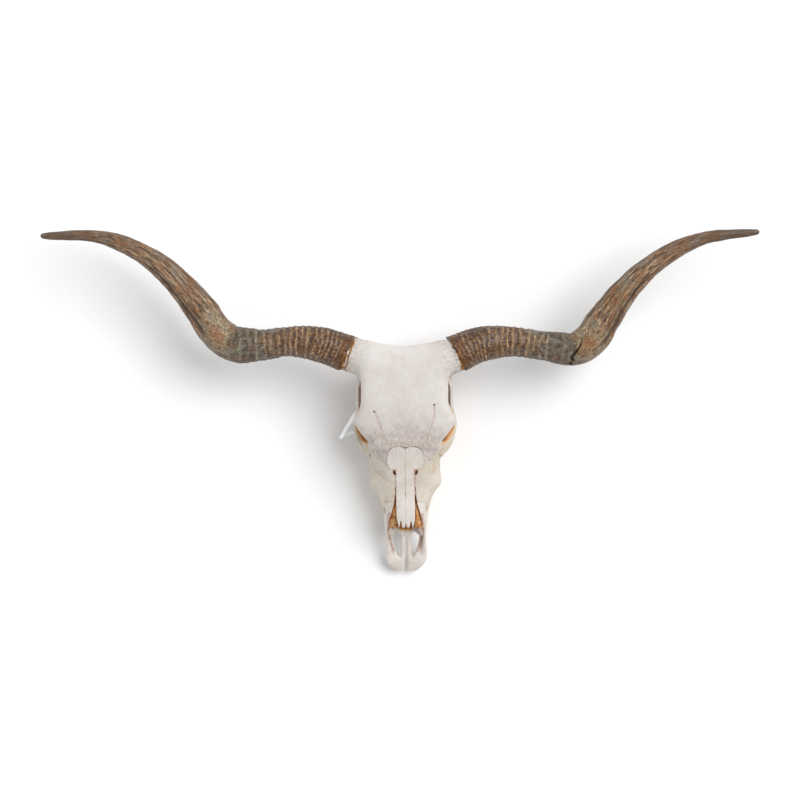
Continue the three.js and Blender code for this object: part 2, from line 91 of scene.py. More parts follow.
TIE_STOPS = (
    (-121, 203.5, 75), (-138, 211, 67.5), (-148, 216, 66), (-153.5, 219, 71), (-149, 213, 78),
    (-142, 200, 88), (-134.5, 188, 98), (-127, 177, 108), (-122, 168, 115.5), (-116, 160, 120.5),
    (-108, 154, 123), (-100, 150.5, 121), (-95, 154, 113), (-93, 165, 103), (-95, 178, 93),
    (-103, 190, 84), (-116, 201, 77.5),
)
TIE = {"half_width": 4.2, "half_thickness": 0.9, "tooth_pitch": 1.7, "tooth_height": 0.45}
TIE_HEAD = {"at": (-119, 202, 76.5), "size": (10, 9, 6.5), "turn": -0.5, "tilt": 0.35}

SIDES = (("right", 1), ("left", -1))

# ---------------------------------------------------------------- numbers that vary smoothly


def along(*stations):
    """A smooth function through stations (s, value), which never overshoots them."""
    places, values = np.array(stations, float).T
    width = np.diff(places)
    rise = np.diff(values) / width
    slope = np.empty_like(values)
    slope[0], slope[-1] = rise[0], rise[-1]
    product = rise[:-1] * rise[1:]
    total = np.where(product > 0, rise[:-1] + rise[1:], 1)
    slope[1:-1] = np.where(product > 0, 2 * product / total, 0)

    def value(at):
        at = np.clip(at, places[0], places[-1])
        i = np.clip(np.searchsorted(places, at) - 1, 0, len(width) - 1)
        t = (at - places[i]) / width[i]
        start = values[i] * (1 + 2 * t) * (1 - t) ** 2 + slope[i] * width[i] * t * (1 - t) ** 2
        end = values[i + 1] * t * t * (3 - 2 * t) + slope[i + 1] * width[i] * t * t * (t - 1)
        return start + end

    return value


def level(value):
    """A function of s that has one value everywhere."""
    return lambda s: value + 0 * s


def step(low, high, value):
    """0 below low, 1 above high, and smooth between them."""
    t = np.clip((value - low) / (high - low), 0, 1)
    return t * t * (3 - 2 * t)


def noise(points, size, seed):
    """Smooth noise from -1 to 1 at points (n, 3), with lumps of the given size."""
    period = 32
    table = np.random.default_rng(seed).uniform(-1, 1, (period,) * 3).astype(np.float32)
    scaled = np.asarray(points, np.float32) / np.float32(size)
    corner = np.floor(scaled)
    part = scaled - corner
    part = part * part * (3 - 2 * part)
    low = corner.astype(int) % period
    high = (low + 1) % period
    total = 0
    for dx, dy, dz in np.ndindex(2, 2, 2):
        weight = (
            (part[:, 0] if dx else 1 - part[:, 0])
            * (part[:, 1] if dy else 1 - part[:, 1])
            * (part[:, 2] if dz else 1 - part[:, 2])
        )
        ix, iy, iz = ((high if d else low)[:, axis] for axis, d in enumerate((dx, dy, dz)))
        total = total + weight * table[ix, iy, iz]
    return total


def rough(points, size, seed, octaves=3):
    """Noise with finer noise on top of it."""
    return sum(noise(points, size / 2**i, seed + i) / 2**i for i in range(octaves))


def curve(stops, t):
    """Places at t, from 0 to 1, on a centripetal Catmull-Rom curve through the stops."""
    stops = np.asarray(stops, float)
    ends = 2 * stops[0] - stops[1], 2 * stops[-1] - stops[-2]
    p = np.vstack([ends[0], stops, ends[1]])
    knot = np.sqrt(np.linalg.norm(np.diff(p, axis=0), axis=1))[:, None]
    along_stops = np.asarray(t) * (len(stops) - 1)
    i = np.minimum(along_stops.astype(int), len(stops) - 2)
    w = (along_stops - i)[:, None]
    p0, p1, p2, p3 = p[i], p[i + 1], p[i + 2], p[i + 3]
    d0, d1, d2 = knot[i], knot[i + 1], knot[i + 2]
    m1 = ((p1 - p0) / d0 - (p2 - p0) / (d0 + d1) + (p2 - p1) / d1) * d1
    m2 = ((p2 - p1) / d1 - (p3 - p1) / (d1 + d2) + (p3 - p2) / d2) * d1
    start = p1 * (1 + 2 * w) * (1 - w) ** 2 + m1 * w * (1 - w) ** 2
    return start + p2 * w * w * (3 - 2 * w) + m2 * w * w * (w - 1)


def unit(vectors):
    return vectors / np.linalg.norm(vectors, axis=-1, keepdims=True)


def smooth_least(a, b, blend):
    """The lesser of two distances, with a fillet of about the size of blend between them."""
    near = np.maximum(blend - np.abs(a - b), 0) / blend
    return np.minimum(a, b) - near * near * blend / 4


def smooth_most(a, b, blend):
    return -smooth_least(-a, -b, blend)


# ---------------------------------------------------------------- the block of cells


class Block:
    """Cells of space with each cell's distance to the bone's surface, negative inside the bone."""

    def __init__(self, axes, distance=None):
        self.axes = axes
        if distance is None:
            distance = np.full([len(axis) for axis in axes], FAR, np.float32)
        self.distance = distance

    def room(self, low, high):
        """The slices round a box, and the places x, s and z in them."""
        cut = tuple(
            slice(*np.searchsorted(axis, (a - NEAR, b + NEAR)))
            for axis, a, b in zip(self.axes, low, high)
        )
        places = (axis[part] for axis, part in zip(self.axes, cut))
        return cut, np.meshgrid(*places, indexing="ij", sparse=True)

    def add(self, solid, blend=0.1):
        low, high, distance = solid
        cut, places = self.room(low, high)
        self.distance[cut] = smooth_least(self.distance[cut], distance(*places), blend)

    def carve(self, solid, blend=0.1):
        low, high, distance = solid
        cut, places = self.room(low, high)
        self.distance[cut] = smooth_most(self.distance[cut], -distance(*places), blend)

    def both_sides(self):
        """This half of a block and its mirror image as one block."""
        x, s, z = self.axes
        mirrored = np.concatenate([self.distance[:0:-1], self.distance[1:]])
        return Block((np.concatenate([-x[:0:-1], x[1:]]), s, z), mirrored)

    def fitted(self, end_s, end_x):
        """The part of the block up to s = end_s, made wider with empty cells up to x = end_x."""
        x, s, z = self.axes
        count = int(np.searchsorted(s, end_s))
        wider = np.arange(x[-1] + CELL, end_x, CELL, dtype=np.float32)
        distance = np.pad(self.distance[:, :count], ((0, len(wider)), (0, 0), (0, 0)), constant_values=FAR)
        return Block((np.concatenate([x, wider]), s[:count], z), distance)

    def top_at(self, x, s):
        """Height of the highest bone at x and s."""
        column = self.distance[np.searchsorted(self.axes[0], x), np.searchsorted(self.axes[1], s)]
        i = np.nonzero(column < 0)[0][-1]
        return float(self.axes[2][i] + CELL * column[i] / (column[i] - column[i + 1]))


def half_block():
    """An empty block for one half of the skull. Its first layer of cells lies just over the midline."""
    axes = [np.arange(a, b, CELL, dtype=np.float32) for a, b in zip(BLOCK_LOW, BLOCK_HIGH)]
    axes[0] -= CELL / 2
    return Block(axes)


# ---------------------------------------------------------------- solids: low corner, high corner, distance


def softened(corners, closed=False, times=2, share=0.22):
    """An outline with its corners cut off a few times over."""
    points = np.asarray(corners, float)
    for _ in range(times):
        ends = np.roll(points, -1, axis=0) if closed else points[1:]
        starts = points if closed else points[:-1]
        cut = np.stack([starts + (ends - starts) * share, ends - (ends - starts) * share], 1)
        cut = cut.reshape(-1, 2)
        points = cut if closed else np.vstack([points[:1], cut[1:-1], points[-1:]])
    return points


def outline_distance(corners, u, v, closed=True):
    """Distance of places u, v to an outline, negative inside it. An open one is closed to the left."""
    nearest = np.float32(1e9)
    inside = np.zeros(np.broadcast(u, v).shape, bool)
    ends = np.roll(corners, -1, axis=0) if closed else corners[1:]
    for (u0, v0), (u1, v1) in zip(np.float32(corners), np.float32(ends)):
        du, dv = u1 - u0, v1 - v0
        t = np.clip(((u - u0) * du + (v - v0) * dv) / (du * du + dv * dv + 1e-9), 0, 1)
        nearest = np.minimum(nearest, (u - u0 - t * du) ** 2 + (v - v0 - t * dv) ** 2)
        if dv:
            inside ^= ((v0 > v) != (v1 > v)) & (u < u0 + (v - v0) * (du / dv))
    return np.where(inside, -1, 1) * np.sqrt(nearest)


def loft(half_section, start, end, blend=2.0, set_back=None):
    """A solid along s. half_section(s) gives its right half's corners [x, z] from the top down."""
    stations = np.linspace(start, end, 12)
    reach = np.concatenate([np.asarray(half_section(s), float) for s in stations])
    low = (0, start, reach[:, 1].min())
    high = (reach[:, 0].max(), end, reach[:, 1].max())

    def distance(x, s, z):
        layers = [
            outline_distance(
                softened(half_section(np.clip(place, start, end))),
                np.abs(x[:, 0]), z[0], closed=False,
            )
            for place in s.ravel()
        ]
        back = start + (set_back(x, s) if set_back else 0)
        return smooth_most(np.stack(layers, 1), np.maximum(back - s, s - end), blend)

    return low, high, distance


def ball(middle, size, lean=0.0):
    """An ellipsoid. Its first axis leans from x towards s."""
    middle, size = np.array(middle, float), np.array(size, float)
    reach = np.array([size[:2].max() if lean else size[0], size[:2].max() if lean else size[1], size[2]])

    def distance(x, s, z):
        x, s, z = x - middle[0], s - middle[1], z - middle[2]
        u = x * math.cos(lean) + s * math.sin(lean)
        v = s * math.cos(lean) - x * math.sin(lean)
        return oval(((u, size[0]), (v, size[1]), (z, size[2])))

    return middle - reach, middle + reach, distance


def oval(offsets):
    """About the distance to an oval round zero, from pairs of an offset and the oval's half size."""
    reach = sum((offset / half) ** 2 for offset, half in offsets)
    slope = sum((offset / half**2) ** 2 for offset, half in offsets)
    reach = np.sqrt(reach)
    return reach * (reach - 1) / (np.sqrt(slope) + 1e-6)


def bar(stops, up=(0, 0, 1), steps=None):
    """A bar of oval section along a smooth path of stops (x, s, z, half width, half height)."""
    stops = np.array(stops, float)
    steps = steps or 5 * (len(stops) - 1)
    t = np.linspace(0, 1, steps + 1)
    middles = curve(stops[:, :3], t)
    halves = np.stack([along(*zip(np.linspace(0, 1, len(stops)), column))(t) for column in stops[:, 3:].T], 1)
    ahead = unit(np.gradient(middles, axis=0))
    across = unit(np.cross(ahead, up))
    over = np.cross(across, ahead)
    reach = halves.max()

    def distance(x, s, z):
        nearest = np.full(np.broadcast(x, s, z).shape, 2 * NEAR, np.float32)
        for i in range(steps):
            a, b = middles[i], middles[i + 1]
            room = tuple(
                slice(*np.searchsorted(axis.ravel(), (min(p, q) - reach - NEAR, max(p, q) + reach + NEAR)))
                for axis, p, q in zip((x, s, z), a, b)
            )
            if any(part.start == part.stop for part in room):
                continue
            px, ps, pz = x[room[0]], s[:, room[1]], z[:, :, room[2]]
            span = b - a
            share = ((px - a[0]) * span[0] + (ps - a[1]) * span[1] + (pz - a[2]) * span[2]) / (span @ span)
            share = np.clip(share, 0, 1).astype(np.float32)
            dx, ds, dz = px - a[0] - share * span[0], ps - a[1] - share * span[1], pz - a[2] - share * span[2]
            frame_axes = (across[i], over[i], ahead[i])
            u, v, w = (dx * axis[0] + ds * axis[1] + dz * axis[2] for axis in frame_axes)
            wide, high = (halves[i, k] + share * (halves[i + 1, k] - halves[i, k]) for k in (0, 1))
            part = oval(((u, wide), (v, high), (w, np.minimum(wide, high))))
            nearest[room] = np.minimum(nearest[room], part)
        return nearest

    return middles.min(0) - reach, middles.max(0) + reach, distance


def slab(outline, low_x, high_x, blend=2.0):
    """A slab between two x, with an outline of points (s, z) in side view."""
    points = np.array(outline, float)

    def distance(x, s, z):
        side = outline_distance(softened(points, closed=True, times=1), s[0], z[0])
        return smooth_most(side[None], np.maximum(low_x - x, x - high_x), blend)

    return (low_x, *points.min(0)), (high_x, *points.max(0)), distance


def plate(outline, middle_z, half_height, blend):
    """A level plate with an outline of points (x, s), whose height changes along s."""
    points = np.array(outline, float)
    heights = [middle_z(s) + side * half_height(s) for s in points[:, 1] for side in (-1, 1)]

    def distance(x, s, z):
        top = outline_distance(softened(points, closed=True), x[:, :, 0], s[:, :, 0])
        return smooth_most(top[:, :, None], np.abs(z - middle_z(s)) - half_height(s), blend)

    return (*points.min(0), min(heights)), (*points.max(0), max(heights)), distance


# ---------------------------------------------------------------- the back of the head

topline = along(
    (0, 188), (8, 197), (22, 203), (60, 207), (120, 205), (180, 197), (228, 185),
    (248, 179), (300, 166), (360, 150), (420, 135), (445, 129),
)
roof_half_width = along(
    (0, 84), (8, 92), (22, 98), (60, 102), (95, 101), (132, 101), (143, 104), (156, 109),
    (170, 117), (180, 121), (193, 113), (206, 104), (217, 95), (226, 87), (234, 84), (246, 80),
)
roof_edge = along(
    (0, 180), (22, 194), (60, 197), (100, 193), (140, 187), (165, 178), (180, 169),
    (206, 174), (228, 168), (246, 158),
)


def poll_line(x, s):
    """How far the poll's ridge is set back: a dip in the middle, and waves along it."""
    dip = 5 * np.exp(-((x / 30) ** 2)) + 1.2 * np.sin(x / 7.5) * np.exp(-((x / 70) ** 2))
    return dip * np.maximum(0, 1 - s / 50)


def frontal_roof():
    def section(s):
        half, top, edge = roof_half_width(s), topline(s), roof_edge(s)
        return (
            (0, top), (half * 0.5, top - 0.5), (half * 0.86, (top * 2 + edge) / 3 + 2),
            (half + 1, edge + 1), (half, edge - 9), (half * 0.78, edge - 14), (0, top - 50),
        )

    return loft(section, 0, 246, blend=6, set_back=poll_line)


def braincase():
    half = along((8, 50), (34, 66), (75, 66), (115, 62), (150, 56), (190, 46), (250, 38))
    bottom = along((8, 66), (34, 60), (75, 60), (115, 64), (150, 70), (190, 78), (250, 84))

    def section(s):
        x, z, top = half(s), bottom(s), topline(s) - 14
        middle = (z + top) / 2
        return (
            (0, top), (x * 0.8, top), (x, middle + 12), (x * 0.97, middle - 12),
            (x * 0.66, z + 10), (x * 0.3, z), (0, z),
        )

    return loft(section, 8, 250, blend=6)


def nape():
    half = along((5, 58), (16, 80), (38, 90), (64, 78))
    bottom = along((5, 92), (16, 74), (38, 68), (64, 84))

    def section(s):
        x, z, top = half(s), bottom(s), topline(s) - 12
        return (
            (0, top), (x * 0.85, top - 4), (x, top - 34), (x * 0.98, z + 26),
            (x * 0.72, z + 4), (x * 0.3, z), (0, z),
        )

    return loft(section, 5, 64, blend=8)


def base_bar():
    half = along((26, 19), (90, 15), (150, 11), (200, 8))

    def section(s):
        x, z = half(s), 54 + s * 0.12
        return (0, z + 30), (x, z + 28), (x, z + 6), (x * 0.6, z), (0, z)

    return loft(section, 26, 200, blend=6)


def condyle():
    return ball((25, 21, 76), (16, 19, 23))


def paracondylar_process():
    tip = PROCESS_TIP_S
    stops = (
        (58, 40, 92, 15, 19), (56, 38, 66, 11, 15), (52, 36, 34, 7.5, 11), (47, tip, 9, 6, 8), (46, tip, 2, 5, 6.5),
    )
    return bar(stops, up=(0, 1, 0))


def ear_bulla():
    return bar(((40, 82, 76, 12, 16), (39, 80, 52, 10, 14), (37, 82, 34, 5, 6)), up=(1, 0, 0))


def pterygoid_plate():
    return slab(((188, 96), (188, 76), (202, 26), (216, 30), (238, 40), (262, 44), (262, 92)), 20, 25, blend=3)


def cheek_arch():
    return bar(
        (
            (86, 57, 128, 13, 20), (101, 80, 124, 7, 15), (107, 100, 120, 3.8, 12.5), (108.3, 120, 117, 3.6, 12.5),
            (108.3, 140, 113, 3.6, 12), (110, 160, 108, 5, 11), (114, 182, 103, 8, 11), (110, 204, 103, 10.5, 11),
            (104.5, 222, 105, 11.5, 12), (93, 241, 108, 12, 13), (82, 256, 111, 9.5, 15),
        ),
        up=(0.42, 0, 1),
    )


def arch_crest():
    """The rounded crest on the arch beside the temporal slit."""
    return bar(
        (
            (99, 80, 142, 5, 9), (107.5, 98, 139, 4.4, 10), (108.8, 120, 135, 4.2, 11), (108.8, 142, 131, 4.2, 11),
            (109.5, 160, 125, 5, 11), (112, 180, 116, 6, 10),
        )
    )


def bar_behind_orbit():
    return bar(
        ((110, 177, 170, 7, 9), (114, 175, 148, 4, 7), (112, 172, 126, 4, 7), (109.5, 170, 104, 4, 7)),
        up=(1, 0, 0),
    )


def jaw_socket():
    return bar(((56, 92, 104, 10, 9), (78, 94, 105, 11, 8), (98, 98, 108, 8, 7)))


def head_hollows():
    """The hollows of the head, each with the rounding of its rim."""
    yield ball((118, 208, 140), (52, 30, 30), lean=0.3), 4  # orbit
    yield ball((0, 2, 96), (18, 52, 16)), 4  # foramen magnum
    yield slab(((190, 78), (284, 70), (252, 20), (190, 20)), -1, 16), 3  # openings behind the palate
    yield bar(((64, 190, 132, 5, 6), (46, 180, 128, 4, 5)), up=(0, 1, 0)), 4  # optic canal
    yield bar(((72, 184, 116, 4, 7), (54, 172, 110, 4, 6)), up=(0, 1, 0)), 4  # round opening below it
    yield bar(((100, 66, 118, 5, 5), (70, 70, 112, 4, 4)), up=(0, 1, 0)), 3  # ear canal
    yield ball((17, 48, 64), (4, 6, 8)), 3  # openings in the skull's base
    yield ball((30, 58, 66), (5, 9, 9)), 3
    yield ball((28, 124, 68), (5, 8, 9)), 3


# ---------------------------------------------------------------- the face

snout = {
    "shoulder_x": along((226, 56), (260, 48), (300, 40), (350, 37), (400, 35), (446, 38)),
    "shoulder_drop": along((226, 3), (260, 4), (300, 5), (350, 7.5), (400, 11), (446, 42)),
    "flank_x": along((226, 88), (250, 76), (280, 66), (325, 62), (350, 52), (400, 43.5), (446, 45)),
    "flank_z": along((226, 152), (250, 146), (280, 138), (325, 131), (350, 126), (400, 112), (446, 72)),
    "crest_x": along(
        (226, 100), (240, 100), (250, 95), (258, 88), (280, 84.5), (300, 85), (322, 87.5),
        (334, 83), (346, 71.5), (368, 60), (400, 53), (432, 50.5), (446, 49.5),
    ),
    "crest_z": along((226, 116), (250, 112), (280, 100), (325, 86), (346, 82), (400, 72), (446, 58)),
    "under_crest_x": along((226, 90), (260, 76), (300, 71), (330, 70), (350, 64), (400, 49), (446, 44)),
    "under_crest_z": along((226, 102), (260, 84), (300, 66), (330, 58), (370, 56), (446, 50)),
    "gum_outer_x": along((226, 34), (250, 50), (264, 62), (325, 65), (370, 59), (402, 49), (416, 43), (446, 38)),
    "gum_outer_z": along(
        (226, 88), (250, 72), (262, 34), (270, 24), (325, 23), (370, 24), (402, 26), (416, 37), (446, 42)
    ),
    "gum_inner_x": along((226, 24), (250, 36), (264, 42), (325, 42), (370, 37), (402, 31), (446, 27)),
    "gum_inner_z": along((226, 88), (250, 76), (262, 36), (270, 27), (402, 30), (416, 40), (446, 44)),
    "palate": along((226, 90), (248, 84), (258, PALATE_Z + 6), (270, PALATE_Z), (446, PALATE_Z + 1)),
}
nasal_half_width = along(
    (238, 14), (243, 33), (250, 40.5), (258, 42.5), (276, 43), (287, 40), (293, 31), (297, 23.5), (304, 22.2),
    (340, 21.8), (400, 21.5), (424, 20.6), (440, 20),
)


def nasal_root_wave(x, s):
    """How far the jagged root of the nasal bones is set back."""
    return 1.8 * np.sin(x / 2.3) + 1.2 * np.sin(x / 5.1 + 1) + 0 * s


def nasal_side_wave(s):
    """How far the nasal bones' sides wander, which is most at the root."""
    return (1.0 * np.sin(s / 1.9) + 0.8 * np.sin(s / 4.3 + 2)) * step(306, 286, s)


def snout_block():
    def section(s):
        at = {name: value(s) for name, value in snout.items()}
        return (
            (0, topline(s)),
            (at["shoulder_x"], topline(s) - at["shoulder_drop"] + 0.6),
            (at["flank_x"] + 0.4, at["flank_z"]),
            (at["crest_x"] + 1.8, at["crest_z"]),
            (at["under_crest_x"], at["under_crest_z"]),
            (at["gum_outer_x"], at["gum_outer_z"]),
            (at["gum_inner_x"], at["gum_inner_z"]),
            (at["gum_inner_x"] * 0.7, at["palate"] - 2),
            (0, at["palate"]),
        )

    return loft(section, 226, SNOUT_END, blend=3)


def nasal_cavity():
    def section(s):
        flank_x, flank_z = snout["flank_x"](s), snout["flank_z"](s)
        return (
            (0, topline(s) - NASAL_THICKNESS - 1),
            (22, topline(s) - NASAL_THICKNESS - 3),
            (flank_x - CAVITY_WALL - 7, flank_z + 5),
            (flank_x - CAVITY_WALL, flank_z - 8),
            (snout["under_crest_x"](s) - CAVITY_WALL - 6, snout["under_crest_z"](s) + 8),
            (snout["gum_inner_x"](s) - 4, PALATE_Z + 9),
            (0, PALATE_Z + 7),
        )

    return loft(section, CAVITY_START - 30, 470)


aperture_half_width = along(
    (332, 21), (337, 24.6), (342, 24.6), (348, 22), (354, 24), (375, 28), (399, 34.5), (417, 39), (430, 42),
    (442, 60), (470, 60),
)


def nasal_aperture():
    floor = along((332, 105), (400, 92), (430, 82), (442, 78), (456, 68))

    def section(s):
        half, high, low = aperture_half_width(s), topline(s) + 10, floor(s)
        return (0, high), (half, high), (half, low), (0, low)

    return loft(section, 332, 480)


def nasal_gap():
    """The hole beside the nasal bone where it narrows."""
    return plate(((21, 294.5), (31.5, 295.5), (24.5, 308)), lambda s: topline(s) - 5, level(7), blend=1)


def nasal_bed():
    def section(s):
        half = nasal_half_width(s) + nasal_side_wave(s) + GAP
        sky, widest = topline(s) + 8, topline(s) - 4
        bottom = topline(s) - NASAL_THICKNESS - GAP
        return (0, sky), (half, sky), (half, widest), (half - 1, bottom - 1), (half * 0.5, bottom), (0, bottom)

    return loft(section, NASAL_ROOT - GAP, 470, blend=0.5, set_back=nasal_root_wave)


def nasal_bone(block):
    """One nasal bone: a long arched plate whose free end is notched into points."""

    def section(s):
        half = nasal_half_width(s) + nasal_side_wave(s)
        free = step(330, 354, s)  # of the face beside it
        fall = (1 - free) * half * (snout["shoulder_drop"](s) - 0.6) / snout["shoulder_x"](s)
        top, bottom = topline(s) + 0.2 + free, topline(s) - NASAL_THICKNESS
        return (
            (0, top),
            (half * 0.55, top - 0.55 * fall - 0.6 * free),
            (half * 0.96, top - 0.96 * fall - 0.1 - 2 * free),
            (half + 0.3 + 0.1 * free, top - fall - 0.5 - 2.5 * free),
            (half - 1, bottom - 1),
            (half * 0.5, bottom),
            (0, bottom),
        )

    block.add(loft(section, NASAL_ROOT, NASAL_TIP + 1, blend=1, set_back=nasal_root_wave))
    for middle, half, start in (0.5, 3.2, 417), (12, 4.4, 409), (22, 7, 407):
        corners = (middle - half, 435), (middle + half, 435), (middle, start)
        block.carve(plate(corners, level(130), level(25), blend=1), 1.5)


def turbinates(block):
    """Scrolls of thin bone on the side wall of the nose."""
    low, high, solid = bar(
        (
            (27, 322, 110, 10, 32), (27, 360, 108, 11, 30), (29, 395, 99, 12, 26), (33, 418, 87, 11, 18),
            (38, 438, 69, 7, 6),
        )
    )

    def scrolls(x, s, z):
        depth = solid(x, s, z)
        turn = np.arctan2(z - 100 + 0.3 * (s - 360), x - 31)
        wall = np.abs((depth + turn * 6.4 / (2 * np.pi)) % 6.4 - 3.2) - 1.2
        return np.maximum(depth, wall)

    block.add((low, high, scrolls), 0.5)
    block.add(bar(((22, 330, 136, 4, 6), (23, 362, 128, 5, 8), (25, 398, 117, 6, 8), (28, 424, 103, 6, 7))), 2)


def premaxilla(block):
    """The branch beside the nose's opening, the shelf inside it, the plate at the tip and the thin rod."""
    block.add(
        bar(
            (
                (42, 368, 110, 3, 7), (43.5, 392, 101, 3, 10), (45, 420, 85, 3, 12), (44.5, 446, 64, 3.5, 13),
                (43.5, 470, 46, 4.5, 12), (42, 494, 36, 8, 9), (33, 514, 31, 9, 7),
            )
        ),
        2,
    )
    block.add(
        bar(
            (
                (39, 430, 52, 4, 4), (36, 456, 46, 4, 3.5), (32, 480, 41, 4.5, 3.5), (27, 500, 36, 6, 4),
                (21, 514, 32, 9, 5),
            )
        ),
        3,
    )
    outline = (
        (24, 500), (9, 511), (2.6, 518), (2, 530), (2.4, 538), (8, 541.5), (22, 541.5), (31, 535),
        (39.5, 527.5), (47, 518), (50.5, 507), (46, 494),
    )
    half_height = along((494, 8), (507, 8.5), (517, 8.5), (526, 7.5), (534, 5), (541, 2.6))
    block.add(plate(outline, lambda s: 31 - (s - 496) * 0.12, half_height, blend=8), 5)
    block.add(bar(((6.8, 418, 49, 4.3, 4.5), (6.9, 450, 46, 4.7, 4), (7, 482, 40, 4.8, 4), (8.5, 512, 32, 6, 5))), 3)


def cheek_teeth(block):
    """The teeth of one side, whose worn faces lie in one level, with the wells that wear leaves in them."""
    crown = ((-1, -0.8), (0.7, -1), (1, -0.5), (0.82, 0), (1, 0.5), (0.7, 1), (-1, 0.8), (-0.86, 0))
    end, top = TEETH["start"], TEETH["top"]
    for length, width in zip(TEETH["lengths"], TEETH["widths"]):
        s = end - length / 2
        end -= length
        x = float(snout["gum_outer_x"](s) + snout["gum_inner_x"](s)) / 2
        half_width, half_length = width / 2 + 0.3, length / 2 - 0.2
        corners = [(x + u * half_width, s + v * half_length) for u, v in crown]
        block.add(plate(corners, level(top / 2), level(top / 2), blend=1.5), 0.6)
        lobes = (-0.5, 0.5) if length > 20 else (0,)
        for lobe in lobes:
            middle, reach = s + lobe * half_length, half_length * (0.3 if len(lobes) == 2 else 0.55)
            well = (
                (x - half_width * 0.35, middle - reach, 0, 1.1, 3), (x + half_width * 0.15, middle, 0, 1.3, 3.5),
                (x - half_width * 0.35, middle + reach, 0, 1.1, 3),
            )
            block.carve(bar(well), 1)


def face_details(block):
    """Openings and creases of the face."""
    block.carve(bar(((49, 396, 94, 3.5, 5), (46, 380, 92, 3.5, 5), (40, 366, 90, 3, 4))), 4)  # infraorbital canal
    block.carve(bar(((28, 318, 46, 2.5, 5), (27, 300, 48, 2.5, 4))), 3)  # palatine opening
    block.carve(ball((80, 236, 134), (6, 5, 5)), 4)  # tear duct
    block.add(bar(((0, 300, 56, 1.6, 12), (0, 360, 55, 1.4, 9), (0, 420, 50, 1.2, 5))), 2)  # vomer


def skull_half():
    """Half of the skull without its nasal bones and horn cores."""
    block = half_block()
    block.add(frontal_roof())
    block.add(braincase(), 10)
    block.add(nape(), 8)
    block.add(base_bar(), 8)
    block.add(condyle(), 6)
    block.add(paracondylar_process(), 8)
    block.add(ear_bulla(), 4)
    block.add(pterygoid_plate(), 3)
    block.add(cheek_arch(), 7)
    block.add(arch_crest(), 6)
    block.add(bar_behind_orbit(), 7)
    block.add(jaw_socket(), 5)
    block.add(snout_block(), 6)
    for solid in (nasal_cavity(), nasal_aperture()):
        block.carve(solid, 1.5)
    block.carve(nasal_bed(), 0.6)
    block.carve(nasal_gap(), 1.5)
    block.carve(ball((21, 487, 50), (16.5, 43, 26)), 2)  # palatine fissure
    turbinates(block)
    face_details(block)
    cheek_teeth(block)
    premaxilla(block)
    for solid, rim in head_hollows():
        block.carve(solid, rim)
    block.distance[...] = smooth_most(block.distance, -block.axes[2][None, None, :], 0.5)
    return block


# ---------------------------------------------------------------- parting it into bones

# Each bone's outline [s, z] in side view and how near it comes to the midline, in the order of parting.
SUTURES = {
    "premaxilla": (
        ((364, 200), (372, 114), (392, 92), (428, 62), (436, 20), (560, -10), (560, 200)),
        GAP / 2,
    ),
    "zygomatic": (
        (
            (150, 80), (150, 128), (166, 138), (200, 138), (224, 136.5), (246, 133.5),
            (275.7, 113.5), (300, 94), (286, 78), (250, 76),
        ),
        66,
    ),
    "lacrimal": (
        (
            (224, 137), (232, 150), (246, 142), (256, 141), (266, 148), (281, 160), (291, 167), (299, 200),
            (331, 200), (331, 154), (318, 148), (308, 140), (299, 128), (276, 114), (246, 134),
        ),
        20,
    ),
    "maxilla": (
        ((258, -10), (252, 70), (252, 112), (276, 113.5), (299, 127.5), (300, 240), (470, 240), (470, -10)),
        GAP / 2,
    ),
}


def bones_of(skull):
    """The half skull's bones by name. What the others leave is the cranium."""
    x, s, z = skull.axes
    flat = np.stack(np.broadcast_arrays(s[:, None], z[None, :], 0), -1).reshape(-1, 3)
    shape = len(s), len(z)
    ripple = [1.9 * rough(flat, 8, seed).reshape(shape) for seed in (11, 12)]
    bones = {}
    rest = skull.distance
    for name, (outline, inner) in SUTURES.items():
        points = np.array(outline, float)
        side = outline_distance(points, s[:, None] + ripple[0], z[None, :] + ripple[1])
        reach = np.maximum(side[None], inner - x[:, None, None]).astype(np.float32)
        bones[name] = Block(skull.axes, smooth_most(rest, reach, EDGE))
        rest = smooth_most(rest, GAP - reach, EDGE)
    bones["cranium"] = Block(skull.axes, rest)
    return bones


# ---------------------------------------------------------------- a skin round the cells

CORNERS = [np.array(corner) for corner in np.ndindex(2, 2, 2)]
CELL_EDGES = [(a, b) for a in CORNERS for b in CORNERS if (b - a).sum() == 1 and (b - a).min() == 0]


